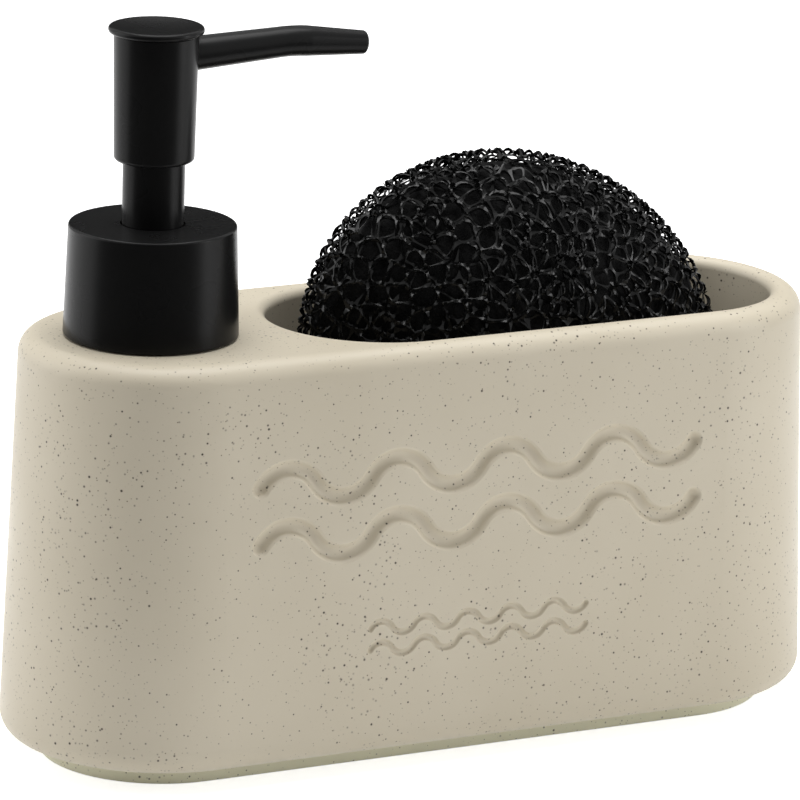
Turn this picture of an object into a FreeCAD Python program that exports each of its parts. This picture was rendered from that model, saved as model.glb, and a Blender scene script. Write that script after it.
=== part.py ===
import FreeCAD, Part
import math
import os

# Soap pump caddy: a ceramic body with a soap reservoir, a well that holds a scouring pad,
# and a screw-on pump. Millimetres. The origin is the centre of the foot's underside,
# +X runs along the body towards the well, -Y is the front and +Z is up.

Vec = FreeCAD.Vector
ORIGIN = Vec(0, 0, 0)
ALONG_X = Vec(1, 0, 0)
ALONG_Y = Vec(0, 1, 0)
UP = Vec(0, 0, 1)
FULL_TURN_DEG = 360
HALF_TURN_DEG = 180
QUARTER_TURN_DEG = 90

# General clearances and edges
OVERRUN = 2.0              # how far a cut runs past the faces that it opens
SAME_POINT = 0.00001       # points closer than this are one point
FIT_GAP = 0.05             # between fixed pieces pushed into each other
RUNNING_GAP = 0.1          # between flat faces that turn or slide on each other
STOP_GAP = 0.15            # between a moving piece and its stop
SLIDE_CLEARANCE = 0.2      # radial room of a sliding rod
SMALL_EDGE_RADIUS = 0.4

# Ceramic body. Its outline is a stadium: straight front and back, half-round ends.
BODY_LENGTH = 181.3        # at the base, before the edge is rounded
BODY_WIDTH = 65.9
BODY_HEIGHT = 89.0
BODY_DRAFT_DEG = 2.1       # the walls lean in going up
TOP_EDGE_RADIUS = 4.3
BASE_EDGE_RADIUS = 4.8
FOOT_HEIGHT = 3.9
FOOT_INSET = 8.3
FOOT_WIDTH = 6.0
FOOT_EDGE_RADIUS = 0.8
BODY_WALL = 6.5
FLOOR_THICKNESS = 6.0
DECK_THICKNESS = 7.0
RESERVOIR_EDGE_RADIUS = 4.0

# Pad well
RIM_WIDTH = 6.4
RIM_EDGE_RADIUS = 2.0
WELL_DEPTH = 57.0
WELL_DRAFT_DEG = 1.5
WELL_FLOOR_RADIUS = 8.0
WELL_FLOOR_THICKNESS = 6.0
PARTITION_WALL = 6.0

# Pump place
PUMP_INSET = 29.75         # from the body's left end at the base to the pump's axis
PUMP_TO_WELL = 28.35       # from the pump's axis to the near end of the well

# Pressed wave lines on the front face: two large lines, two small ones below
WAVE_PITCH = 25.0
WAVE_COUNT = 4
WAVE_LINE_SPACING = 12.0
WAVE_HEIGHT = 57.2         # middle of the two large lines above the table
WAVE_GROOVE_WIDTH = 5.6
WAVE_GROOVE_DEPTH = 1.55
RIPPLE_PITCH = 10.0
RIPPLE_COUNT = 5
RIPPLE_LINE_SPACING = 4.4
RIPPLE_HEIGHT = 28.8
RIPPLE_GROOVE_WIDTH = 2.2
RIPPLE_GROOVE_DEPTH = 0.68
LINES_PER_BAND = 2
WAVE_ARC_HALF_DEG = 58     # half the angle that each half wave's arc covers
LIP_RISE_SHARE = 0.1       # how far the rounded lip starts above the face, of the groove's depth

# Scouring pad: a thick lens that leans to one side in the well
PAD_HEIGHT = 85.5          # across the lens, before it leans
PAD_TILT_DEG = 28
PAD_LEFT_GAP = 5.8         # to the well's ends, at the rim
PAD_RIGHT_GAP = 9.4
PAD_SIDE_GAP = 0.6         # to the well's front and back walls
PAD_FLOOR_GAP = 0.3

# Pump housing
HOUSING_BORE = 14.0
HOUSING_WALL = 1.7
HOUSING_DEPTH = 46.0
HOUSING_FLANGE_THICKNESS = 1.5
GASKET_THICKNESS = 1.0
INLET_DIAMETER = 3.2
INLET_LENGTH = 1.2
DIP_SOCKET_DEPTH = 9.0

# Threaded neck insert round the housing
NECK_CLEARANCE = 2.0       # radial room round the housing
NECK_WALL = 1.85
INSERT_SKIRT_WALL = 2.6
INSERT_SKIRT_LENGTH = 10.0
INSERT_SKIRT_CLEARANCE = 0.2
INSERT_FLANGE_LEDGE = 2.0  # how far the flange reaches past the ceramic's hole
INSERT_FLANGE_THICKNESS = 1.5
SEAL_THICKNESS = 1.0

# Screw thread of the neck and the closure
THREAD_HEIGHT = 1.2
THREAD_PITCH = 4.23
NECK_THREAD_TURNS = 1.25
CLOSURE_THREAD_TURNS = 1.0
THREAD_STEPS_PER_TURN = 32
THREAD_FOOT_WIDTH = 2.1
THREAD_CREST_WIDTH = 1.1
THREAD_CLEARANCE = 0.35
THREAD_FROM_NECK_TOP = 1.9
THREAD_EMBED = 0.6         # how far the ridge reaches into its wall
THREAD_END_DEG = 40        # where both threads end, round from the spout's side

# Collar: an inner closure under a plain outer shell
COLLAR_HEIGHT = 23.0
COLLAR_GAP = 0.3           # between the shell and the ceramic deck
COLLAR_EDGE_RADIUS = 0.5
CLOSURE_WALL = 1.9
CLOSURE_TOP_WALL = 1.7
CLOSURE_SKIRT_GAP = 0.6    # between the closure and the insert's flange
SHELL_BASE_WALL = 1.95
SHELL_UPPER_WALL = 1.15
SHELL_TOP_WALL = 1.1

# Inlet valve
BALL_DIAMETER = 5.0
BALL_LIFT = 1.5
BALL_CHAMBER_CLEARANCE = 1.0
RETAINER_THICKNESS = 1.5
RETAINER_HOLE_COUNT = 4
RETAINER_HOLE_DIAMETER = 1.8
RETAINER_HOLE_CIRCLE = 4.8

# Dip tube
DIP_TUBE_DIAMETER = 6.0
DIP_TUBE_BORE = 4.2
DIP_TUBE_FLOOR_GAP = 3.0

# Plunger
ROD_DIAMETER = 6.0
ROD_BORE = 3.4
ROD_STOP_DIAMETER = 9.6
ROD_STOP_THICKNESS = 1.5
ROD_PORT_WIDTH = 1.6
ROD_PORT_HEIGHT = 1.1
PISTON_LENGTH = 9.0
PISTON_SLIP = 1.2
PISTON_HUB_WALL = 1.6
PISTON_SKIRT_WALL = 1.0
PISTON_WEB_THICKNESS = 1.8
PISTON_CLEARANCE = 0.1
SEAT_FLANGE_THICKNESS = 1.8
SEAT_NOSE_LENGTH = 3.0
SEAT_NOSE_CLEARANCE = 0.45
SEAT_SPIGOT_LENGTH = 2.6
SEAT_SPIGOT_FLAT_WIDTH = 1.8

# Return spring
SPRING_CLEARANCE = 1.25    # radial room in the housing
SPRING_WIRE = 1.0
SPRING_TURNS = 8
SPRING_STEPS_PER_TURN = 4

# Guide tube
GUIDE_DIAMETER = 12.7
GUIDE_FLANGE_DIAMETER = 21.0
GUIDE_FLANGE_THICKNESS = 1.2
GUIDE_SPIGOT_LENGTH = 4.0
GUIDE_ENGAGEMENT = 5.5     # length inside the head barrel at rest
GUIDE_HOLE_CLEARANCE = 0.3
GUIDE_BORE_CLEARANCE = 0.4

# Pump head
HEAD_GAP = 13.2            # between the collar and the barrel at rest
HEAD_STOP_GAP = 1.7        # the same with the head pressed down
BARREL_CLEARANCE = 0.5     # radial room round the guide tube
BARREL_BASE_WALL = 1.35
BARREL_TOP_WALL = 1.8
BARREL_EDGE_RADIUS = 0.9   # at the foot
BARREL_TOP_RADIUS = 0.25
BUTTON_DIAMETER = 19.5
BUTTON_THICKNESS = 1.4
BUTTON_EDGE_RADIUS = 0.65
BUTTON_DISH_DEPTH = 0.5
BUTTON_RIM_WIDTH = 1.3
BUTTON_SPIGOT_HEIGHT = 2.2
BUTTON_SPIGOT_WALL = 1.4
CORE_CLEARANCE = 0.6       # above the guide tube when the head is pressed
CORE_FLOOR = 1.1           # below the way to the spout
CORE_ROOF = 0.65
CORE_SLEEVE_LENGTH = 9.0
CORE_SLEEVE_WALL = 1.1
HEAD_TURN_CLEARANCE = 0.06

# Spout
SPOUT_BEND_REACH = 30.6    # from the pump's axis
SPOUT_BEND_RISE = 1.45
SPOUT_TIP_REACH = 47.0
SPOUT_TIP_DROP = 0.15
SPOUT_ROOT_DIAMETER = 7.1
SPOUT_BEND_DIAMETER = 6.3
SPOUT_TIP_DIAMETER = 4.85
SPOUT_BEND_RUN = 3.0       # half the length of the curve at the bend
SPOUT_TIP_RADIUS = 0.5
SPOUT_BORE = 3.0
SPOUT_SPIGOT_WALL = 0.8

# Body places worked out from the sizes above
HALF_WIDTH = BODY_WIDTH / 2
END_CENTRE = BODY_LENGTH / 2 - HALF_WIDTH
BODY_LEAN = math.tan(math.radians(BODY_DRAFT_DEG))
WELL_LEAN = math.tan(math.radians(WELL_DRAFT_DEG))
PUMP_X = PUMP_INSET - BODY_LENGTH / 2
TOP_HALF_WIDTH = HALF_WIDTH - BODY_LEAN * (BODY_HEIGHT - FOOT_HEIGHT)
WELL_RADIUS = TOP_HALF_WIDTH - RIM_WIDTH
WELL_LEFT_X = PUMP_X + PUMP_TO_WELL
WELL_RIGHT_X = END_CENTRE + WELL_RADIUS
WELL_FLOOR_Z = BODY_HEIGHT - WELL_DEPTH
RESERVOIR_FLOOR_Z = FOOT_HEIGHT + FLOOR_THICKNESS

# Diameters of the pump, from the housing outwards
HOUSING_DIAMETER = HOUSING_BORE + 2 * HOUSING_WALL
NECK_BORE = HOUSING_DIAMETER + 2 * NECK_CLEARANCE
NECK_DIAMETER = NECK_BORE + 2 * NECK_WALL
INSERT_SKIRT_DIAMETER = NECK_BORE + 2 * INSERT_SKIRT_WALL
NECK_HOLE_DIAMETER = INSERT_SKIRT_DIAMETER + 2 * INSERT_SKIRT_CLEARANCE
INSERT_FLANGE_DIAMETER = NECK_HOLE_DIAMETER + 2 * INSERT_FLANGE_LEDGE
THREAD_DIAMETER = NECK_DIAMETER + 2 * THREAD_HEIGHT
CLOSURE_BORE = THREAD_DIAMETER + 2 * THREAD_CLEARANCE
CLOSURE_DIAMETER = CLOSURE_BORE + 2 * CLOSURE_WALL
SHELL_BORE = CLOSURE_DIAMETER + 2 * FIT_GAP
HOUSING_FLANGE_DIAMETER = NECK_DIAMETER
SPRING_DIAMETER = HOUSING_BORE - 2 * SPRING_CLEARANCE
SEAT_NOSE_DIAMETER = SPRING_DIAMETER - 2 * (SPRING_WIRE + SEAT_NOSE_CLEARANCE)
CORE_SLEEVE_DIAMETER = ROD_DIAMETER + 2 * (HEAD_TURN_CLEARANCE + CORE_SLEEVE_WALL)
GUIDE_BORE = CORE_SLEEVE_DIAMETER + 2 * GUIDE_BORE_CLEARANCE
GUIDE_HOLE_DIAMETER = GUIDE_DIAMETER + 2 * GUIDE_HOLE_CLEARANCE
BARREL_BORE = GUIDE_DIAMETER + 2 * BARREL_CLEARANCE
BARREL_BASE_DIAMETER = BARREL_BORE + 2 * BARREL_BASE_WALL
BARREL_TOP_DIAMETER = BARREL_BORE + 2 * BARREL_TOP_WALL
SPOUT_SPIGOT_DIAMETER = SPOUT_BORE + 2 * SPOUT_SPIGOT_WALL
SPOUT_SOCKET_DIAMETER = SPOUT_SPIGOT_DIAMETER + 2 * FIT_GAP

# Levels of the neck and collar
COLLAR_BASE_Z = BODY_HEIGHT + COLLAR_GAP
COLLAR_TOP_Z = COLLAR_BASE_Z + COLLAR_HEIGHT
INSERT_FLANGE_Z = BODY_HEIGHT + SEAL_THICKNESS
INSERT_FLANGE_TOP_Z = INSERT_FLANGE_Z + INSERT_FLANGE_THICKNESS
CLOSURE_TOP_Z = COLLAR_TOP_Z - SHELL_TOP_WALL
CLOSURE_UNDER_Z = CLOSURE_TOP_Z - CLOSURE_TOP_WALL
GUIDE_FLANGE_TOP_Z = CLOSURE_UNDER_Z - RUNNING_GAP
HOUSING_TOP_Z = GUIDE_FLANGE_TOP_Z - GUIDE_FLANGE_THICKNESS
HOUSING_FLANGE_Z = HOUSING_TOP_Z - HOUSING_FLANGE_THICKNESS
NECK_TOP_Z = HOUSING_FLANGE_Z - GASKET_THICKNESS
THREAD_END_Z = NECK_TOP_Z - THREAD_FROM_NECK_TOP

# Levels inside the housing
HOUSING_SHOULDER_Z = HOUSING_TOP_Z - HOUSING_DEPTH
RETAINER_TOP_Z = HOUSING_SHOULDER_Z + RETAINER_THICKNESS
BALL_Z = HOUSING_SHOULDER_Z - BALL_LIFT - STOP_GAP - BALL_DIAMETER / 2
SEAT_APEX_Z = BALL_Z - (BALL_DIAMETER / 2 + FIT_GAP) * math.sqrt(2)
INLET_TOP_Z = SEAT_APEX_Z + INLET_DIAMETER / 2
DIP_TUBE_TOP_Z = INLET_TOP_Z - INLET_LENGTH
ROD_STOP_TOP_Z = HOUSING_TOP_Z - GUIDE_SPIGOT_LENGTH - STOP_GAP
ROD_STOP_Z = ROD_STOP_TOP_Z - ROD_STOP_THICKNESS
PISTON_TOP_Z = ROD_STOP_Z - PISTON_SLIP - STOP_GAP
PISTON_Z = PISTON_TOP_Z - PISTON_LENGTH
SEAT_TOP_Z = PISTON_Z - STOP_GAP
SEAT_FLANGE_Z = SEAT_TOP_Z - SEAT_FLANGE_THICKNESS

# Levels of the pump head
PUMP_STROKE = HEAD_GAP - HEAD_STOP_GAP
BARREL_BASE_Z = COLLAR_TOP_Z + HEAD_GAP
GUIDE_TOP_Z = BARREL_BASE_Z + GUIDE_ENGAGEMENT
CORE_Z = GUIDE_TOP_Z + PUMP_STROKE + CORE_CLEARANCE
SPOUT_Z = CORE_Z + CORE_FLOOR + SPOUT_SOCKET_DIAMETER / 2
CORE_TOP_Z = SPOUT_Z + SPOUT_SOCKET_DIAMETER / 2 + CORE_ROOF
BUTTON_Z = CORE_TOP_Z + RUNNING_GAP + BUTTON_SPIGOT_HEIGHT
BUTTON_TOP_Z = BUTTON_Z + BUTTON_THICKNESS
BARREL_TOP_Z = BUTTON_Z - RUNNING_GAP
ROD_TOP_Z = SPOUT_Z - SPOUT_SOCKET_DIAMETER / 2 - STOP_GAP


def body_half_width(z):
    """Half the body's width at a height, on the leaning wall."""
    return HALF_WIDTH - BODY_LEAN * (z - FOOT_HEIGHT)


def rounded_outline(corners):
    """Closed wire in the XZ plane through (x, z, radius) corners; a radius of 0 stays sharp."""
    places = [Vec(x, 0, z) for x, z, radius in corners]
    arcs = []
    for i, (x, z, radius) in enumerate(corners):
        here = places[i]
        to_last = (places[i - 1] - here).normalize()
        to_next = (places[(i + 1) % len(corners)] - here).normalize()
        half_angle = to_last.getAngle(to_next) / 2
        tangent = radius / math.tan(half_angle)
        inward = (to_last + to_next).normalize()
        middle = here + inward * (radius / math.sin(half_angle) - radius)
        arcs.append((here + to_last * tangent, middle, here + to_next * tangent))
    edges = []
    for i, (start, middle, end) in enumerate(arcs):
        last_end = arcs[i - 1][2]
        if last_end.distanceToPoint(start) > SAME_POINT:
            edges.append(Part.LineSegment(last_end, start).toShape())
        if corners[i][2] > 0:
            edges.append(Part.Arc(start, middle, end).toShape())
    return Part.Wire(edges)


def upright(shape):
    """A solid with its faces pointing outwards."""
    if shape.Volume < 0:
        shape.reverse()
    return shape


def turned(corners):
    """Solid of revolution about the vertical axis from rounded (radius, z) corners."""
    face = Part.Face(rounded_outline(corners))
    return upright(face.revolve(ORIGIN, UP, FULL_TURN_DEG))


def sharp(points):
    """Corners with no rounding."""
    return [(x, z, 0) for x, z in points]


def ring(outer_diameter, bore, z_low, z_high):
    """Plain ring on the vertical axis."""
    outer = outer_diameter / 2
    inner = bore / 2
    return turned(sharp([(inner, z_low), (outer, z_low), (outer, z_high), (inner, z_high)]))


def disc(diameter, z_low, z_high):
    """Plain cylinder on the vertical axis."""
    return Part.makeCylinder(diameter / 2, z_high - z_low, Vec(0, 0, z_low))


def circle_wire(centre, way, diameter):
    """Circle round a centre, square to a way."""
    return Part.Wire(Part.Circle(centre, way, diameter / 2).toShape())


def on_pump(shape):
    """Move a piece from the vertical axis to the pump's place."""
    shape.translate(Vec(PUMP_X, 0, 0))
    return shape


def fused(pieces):
    """One solid of several that touch or overlap."""
    return pieces[0].multiFuse(pieces[1:]).removeSplitter()


def stadium(corners, left_x, right_x):
    """Carry a half profile of (distance from the centre line, z) corners round a stadium."""
    face = Part.Face(rounded_outline(corners))
    back_face = face.copy()
    back_face.rotate(ORIGIN, UP, QUARTER_TURN_DEG)
    front_face = face.copy()
    front_face.rotate(ORIGIN, UP, -QUARTER_TURN_DEG)
    left_end = upright(back_face.revolve(ORIGIN, UP, HALF_TURN_DEG))
    right_end = upright(front_face.revolve(ORIGIN, UP, HALF_TURN_DEG))
    run = Vec(right_x - left_x, 0, 0)
    back = upright(back_face.extrude(run))
    front = upright(front_face.extrude(run))
    for piece in (left_end, back, front):
        piece.translate(Vec(left_x, 0, 0))
    right_end.translate(Vec(right_x, 0, 0))
    return fused([left_end, front, back, right_end])


def body_block():
    """The body's outside with its foot ring, still solid."""
    foot_outer = HALF_WIDTH - FOOT_INSET
    foot_inner = foot_outer - FOOT_WIDTH
    return stadium([
        (0, FOOT_HEIGHT, 0),
        (foot_inner, FOOT_HEIGHT, 0),
        (foot_inner, 0, FOOT_EDGE_RADIUS),
        (foot_outer, 0, FOOT_EDGE_RADIUS),
        (foot_outer, FOOT_HEIGHT, 0),
        (HALF_WIDTH, FOOT_HEIGHT, BASE_EDGE_RADIUS),
        (TOP_HALF_WIDTH, BODY_HEIGHT, TOP_EDGE_RADIUS),
        (0, BODY_HEIGHT, 0),
    ], -END_CENTRE, END_CENTRE)


def well_space():
    """The space of the pad well, with a rounded floor and a rounded rim."""
    floor_radius = WELL_RADIUS - WELL_LEAN * WELL_DEPTH
    rim_reach = WELL_RADIUS + RIM_EDGE_RADIUS
    return stadium([
        (0, WELL_FLOOR_Z, 0),
        (floor_radius, WELL_FLOOR_Z, WELL_FLOOR_RADIUS),
        (WELL_RADIUS, BODY_HEIGHT, RIM_EDGE_RADIUS),
        (rim_reach, BODY_HEIGHT, 0),
        (rim_reach, BODY_HEIGHT + OVERRUN, 0),
        (0, BODY_HEIGHT + OVERRUN, 0),
    ], WELL_LEFT_X + WELL_RADIUS, END_CENTRE)


def reservoir_space():
    """The soap space: a chamber under the pump that also runs below the well."""
    deck_under = BODY_HEIGHT - DECK_THICKNESS
    inside = stadium([
        (0, RESERVOIR_FLOOR_Z, 0),
        (body_half_width(RESERVOIR_FLOOR_Z) - BODY_WALL, RESERVOIR_FLOOR_Z, RESERVOIR_EDGE_RADIUS),
        (body_half_width(deck_under) - BODY_WALL, deck_under, RESERVOIR_EDGE_RADIUS),
        (0, deck_under, 0),
    ], -END_CENTRE, END_CENTRE)
    low = RESERVOIR_FLOOR_Z - OVERRUN
    high = deck_under + OVERRUN
    left = -BODY_LENGTH / 2
    right = BODY_LENGTH / 2
    step_x = WELL_LEFT_X - PARTITION_WALL
    step_z = WELL_FLOOR_Z - WELL_FLOOR_THICKNESS
    side = Part.Face(rounded_outline([
        (left, low, 0),
        (right, low, 0),
        (right, step_z, 0),
        (step_x, step_z, RESERVOIR_EDGE_RADIUS),
        (step_x, high, 0),
        (left, high, 0),
    ]))
    side.translate(Vec(0, -HALF_WIDTH, 0))
    return inside.common(upright(side.extrude(Vec(0, BODY_WIDTH, 0))))


def groove_profile(width, depth, half):
    """Section of a pressed line: round floor, rounded lips. The face is at z = 0.

    Floor and lips are arcs of one radius that meet smoothly, so the slope where they meet
    has a tangent of half its angle equal to twice the height over the width.
    """
    rise = depth * LIP_RISE_SHARE
    height = depth + rise
    slope = 2 * math.atan(2 * height / width)
    radius = width / (4 * math.sin(slope))

    def floor_point(angle):
        return Vec(radius * math.sin(angle), 0, radius * (1 - math.cos(angle)) - depth)

    def lip_point(angle):
        return Vec(width / 2 - radius * math.sin(angle), 0, rise - radius * (1 - math.cos(angle)))

    lip = Part.Arc(floor_point(slope), lip_point(slope / 2), lip_point(0)).toShape()
    top = rise + OVERRUN
    side = Part.LineSegment(lip_point(0), Vec(width / 2, 0, top)).toShape()
    if half:
        floor = Part.Arc(floor_point(0), floor_point(slope / 2), floor_point(slope)).toShape()
        cover = Part.LineSegment(Vec(width / 2, 0, top), Vec(0, 0, top)).toShape()
        middle = Part.LineSegment(Vec(0, 0, top), floor_point(0)).toShape()
        return Part.Face(Part.Wire([floor, lip, side, cover, middle]))
    floor = Part.Arc(floor_point(-slope), floor_point(0), floor_point(slope)).toShape()
    cover = Part.LineSegment(Vec(width / 2, 0, top), Vec(-width / 2, 0, top)).toShape()
    mirrored = [edge.mirror(ORIGIN, ALONG_X) for edge in (side, lip)]
    return Part.Face(Part.Wire([floor, lip, side, cover] + mirrored))


def wave_line(pitch, count, width, depth):
    """Cutter for one wave line of arcs, along X and centred, lying on the plane z = 0."""
    half_angle = WAVE_ARC_HALF_DEG
    half_pitch = pitch / 2
    arc_radius = half_pitch / (2 * math.sin(math.radians(half_angle)))
    drop = arc_radius * math.cos(math.radians(half_angle))
    profile = groove_profile(width, depth, False)
    profile.translate(Vec(arc_radius, 0, 0))
    start_x = -pitch * count / 2
    pieces = []
    for i in range(2 * count):
        side = 1 if i % 2 == 0 else -1
        arc = profile.copy()
        arc.rotate(ORIGIN, UP, side * QUARTER_TURN_DEG - half_angle)
        piece = upright(arc.revolve(ORIGIN, UP, 2 * half_angle))
        piece.translate(Vec(start_x + half_pitch * (i + 1 / 2), -side * drop, 0))
        pieces.append(piece)
    round_end = groove_profile(width, depth, True)
    for end_x, first_deg in ((start_x, QUARTER_TURN_DEG), (-start_x, -QUARTER_TURN_DEG)):
        end = round_end.copy()
        end.rotate(ORIGIN, UP, half_angle + first_deg)
        cap = upright(end.revolve(ORIGIN, UP, HALF_TURN_DEG))
        cap.translate(Vec(end_x, 0, 0))
        pieces.append(cap)
    return fused(pieces)


def wave_band(height, spacing, line):
    """Lay copies of a wave line one above the other on the leaning front face."""
    lines = []
    for i in range(LINES_PER_BAND):
        z = height + spacing * (i - (LINES_PER_BAND - 1) / 2)
        copy = line.copy()
        copy.rotate(ORIGIN, ALONG_X, QUARTER_TURN_DEG - BODY_DRAFT_DEG)
        copy.translate(Vec(0, -body_half_width(z), z))
        lines.append(copy)
    return lines


def ceramic_body():
    deck_under = BODY_HEIGHT - DECK_THICKNESS
    neck_hole = on_pump(disc(NECK_HOLE_DIAMETER, deck_under - OVERRUN, BODY_HEIGHT + OVERRUN))
    wave = wave_line(WAVE_PITCH, WAVE_COUNT, WAVE_GROOVE_WIDTH, WAVE_GROOVE_DEPTH)
    ripple = wave_line(RIPPLE_PITCH, RIPPLE_COUNT, RIPPLE_GROOVE_WIDTH, RIPPLE_GROOVE_DEPTH)
    waves = wave_band(WAVE_HEIGHT, WAVE_LINE_SPACING, wave)
    ripples = wave_band(RIPPLE_HEIGHT, RIPPLE_LINE_SPACING, ripple)
    body = body_block().cut(well_space()).cut(reservoir_space()).cut(neck_hole)
    for line in waves + ripples:
        body = body.cut(line)
    return body.removeSplitter()


def scouring_pad():
    """A ball stretched into a thick lens, leaning in the well and resting on its floor."""
    tilt = math.radians(PAD_TILT_DEG)
    half_height = PAD_HEIGHT / 2
    half_reach = (WELL_RIGHT_X - WELL_LEFT_X - PAD_LEFT_GAP - PAD_RIGHT_GAP) / 2
    lean_reach = half_height * math.sin(tilt)
    half_length = math.sqrt(half_reach * half_reach - lean_reach * lean_reach) / math.cos(tilt)
    reach_down = math.hypot(half_length * math.sin(tilt), half_height * math.cos(tilt))
    centre_z = WELL_FLOOR_Z + PAD_FLOOR_GAP + reach_down
    well_half_width = WELL_RADIUS - WELL_LEAN * (BODY_HEIGHT - centre_z)
    stretch = FreeCAD.Matrix()
    stretch.scale(Vec(half_length, well_half_width - PAD_SIDE_GAP, half_height))
    pad = Part.makeSphere(1).transformGeometry(stretch)
    pad.rotate(ORIGIN, ALONG_Y, PAD_TILT_DEG)
    pad.translate(Vec(WELL_LEFT_X + PAD_LEFT_GAP + half_reach, 0, centre_z))
    return pad


def thread_ridge(foot_radius, crest_radius, end_z, turns):
    """Right-handed helical ridge of trapezoid section, as a ruled loft through its sections."""
    steps = round(turns * THREAD_STEPS_PER_TURN)
    sections = []
    for i in range(steps + 1):
        turn = turns * (i / steps - 1)
        z = end_z + THREAD_PITCH * turn
        section = rounded_outline(sharp([
            (foot_radius, z - THREAD_FOOT_WIDTH / 2),
            (crest_radius, z - THREAD_CREST_WIDTH / 2),
            (crest_radius, z + THREAD_CREST_WIDTH / 2),
            (foot_radius, z + THREAD_FOOT_WIDTH / 2),
        ]))
        section.rotate(ORIGIN, UP, THREAD_END_DEG + FULL_TURN_DEG * turn)
        sections.append(section)
    return upright(Part.makeLoft(sections, True, True))


def neck_insert():
    """Skirt in the ceramic's hole, flange on the seal, and the threaded neck."""
    bore = NECK_BORE / 2
    skirt = INSERT_SKIRT_DIAMETER / 2
    flange = INSERT_FLANGE_DIAMETER / 2
    neck = NECK_DIAMETER / 2
    skirt_z = BODY_HEIGHT - INSERT_SKIRT_LENGTH
    wall = turned([
        (bore, skirt_z, 0),
        (skirt, skirt_z, SMALL_EDGE_RADIUS),
        (skirt, INSERT_FLANGE_Z, 0),
        (flange, INSERT_FLANGE_Z, SMALL_EDGE_RADIUS),
        (flange, INSERT_FLANGE_TOP_Z, SMALL_EDGE_RADIUS),
        (neck, INSERT_FLANGE_TOP_Z, 0),
        (neck, NECK_TOP_Z, SMALL_EDGE_RADIUS),
        (bore, NECK_TOP_Z, 0),
    ])
    ridge = thread_ridge(neck - THREAD_EMBED, THREAD_DIAMETER / 2, THREAD_END_Z, NECK_THREAD_TURNS)
    return on_pump(wall.fuse(ridge).removeSplitter())


def neck_seal():
    return on_pump(ring(INSERT_FLANGE_DIAMETER, NECK_HOLE_DIAMETER, BODY_HEIGHT, INSERT_FLANGE_Z))


def closure():
    """Threaded cap that presses the pump down on the neck; its ridge lies half a pitch lower."""
    outer = CLOSURE_DIAMETER / 2
    bore = CLOSURE_BORE / 2
    hole = GUIDE_HOLE_DIAMETER / 2
    skirt_z = INSERT_FLANGE_TOP_Z + CLOSURE_SKIRT_GAP
    cap = turned(sharp([
        (bore, skirt_z),
        (outer, skirt_z),
        (outer, CLOSURE_TOP_Z),
        (hole, CLOSURE_TOP_Z),
        (hole, CLOSURE_UNDER_Z),
        (bore, CLOSURE_UNDER_Z),
    ]))
    crest = NECK_DIAMETER / 2 + THREAD_CLEARANCE
    end_z = THREAD_END_Z - THREAD_PITCH / 2
    ridge = thread_ridge(bore + THREAD_EMBED, crest, end_z, CLOSURE_THREAD_TURNS)
    return on_pump(cap.fuse(ridge).removeSplitter())


def collar_shell():
    bore = SHELL_BORE / 2
    base = bore + SHELL_BASE_WALL
    top = bore + SHELL_UPPER_WALL
    hole = GUIDE_HOLE_DIAMETER / 2
    return on_pump(turned([
        (bore, COLLAR_BASE_Z, 0),
        (base, COLLAR_BASE_Z, SMALL_EDGE_RADIUS),
        (top, COLLAR_TOP_Z, COLLAR_EDGE_RADIUS),
        (hole, COLLAR_TOP_Z, 0),
        (hole, CLOSURE_TOP_Z, 0),
        (bore, CLOSURE_TOP_Z, 0),
    ]))


def pump_housing():
    """Flanged cylinder with the ball's conical seat and the dip tube's socket below."""
    flange = HOUSING_FLANGE_DIAMETER / 2
    bore = HOUSING_BORE / 2
    outer = HOUSING_DIAMETER / 2
    chamber = BALL_DIAMETER / 2 + BALL_CHAMBER_CLEARANCE
    inlet = INLET_DIAMETER / 2
    socket = DIP_TUBE_DIAMETER / 2 + FIT_GAP
    nozzle = socket + HOUSING_WALL
    nozzle_z = DIP_TUBE_TOP_Z - DIP_SOCKET_DEPTH
    chamber_outer = chamber + HOUSING_WALL
    return on_pump(turned(sharp([
        (bore, HOUSING_TOP_Z),
        (bore, HOUSING_SHOULDER_Z),
        (chamber, HOUSING_SHOULDER_Z),
        (chamber, SEAT_APEX_Z + chamber),
        (inlet, INLET_TOP_Z),
        (inlet, DIP_TUBE_TOP_Z),
        (socket, DIP_TUBE_TOP_Z),
        (socket, nozzle_z),
        (nozzle, nozzle_z),
        (nozzle, INLET_TOP_Z - HOUSING_WALL),
        (chamber_outer, INLET_TOP_Z),
        (chamber_outer, HOUSING_SHOULDER_Z - HOUSING_WALL),
        (outer, HOUSING_SHOULDER_Z),
        (outer, HOUSING_FLANGE_Z),
        (flange, HOUSING_FLANGE_Z),
        (flange, HOUSING_TOP_Z),
    ])))


def housing_gasket():
    return on_pump(ring(HOUSING_FLANGE_DIAMETER, NECK_BORE, NECK_TOP_Z, HOUSING_FLANGE_Z))


def guide_tube():
    """Tube with a flange under the closure and a spigot in the housing that guides the rod."""
    outer = GUIDE_DIAMETER / 2
    bore = GUIDE_BORE / 2
    land = ROD_DIAMETER / 2 + SLIDE_CLEARANCE
    flange = GUIDE_FLANGE_DIAMETER / 2
    spigot = HOUSING_BORE / 2 - FIT_GAP
    spigot_z = HOUSING_TOP_Z - GUIDE_SPIGOT_LENGTH
    return on_pump(turned([
        (land, spigot_z, 0),
        (spigot, spigot_z, 0),
        (spigot, HOUSING_TOP_Z, 0),
        (flange, HOUSING_TOP_Z, 0),
        (flange, GUIDE_FLANGE_TOP_Z, 0),
        (outer, GUIDE_FLANGE_TOP_Z, 0),
        (outer, GUIDE_TOP_Z, SMALL_EDGE_RADIUS),
        (bore, GUIDE_TOP_Z, 0),
        (bore, GUIDE_FLANGE_TOP_Z, 0),
        (land, HOUSING_TOP_Z, 0),
    ]))


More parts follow.
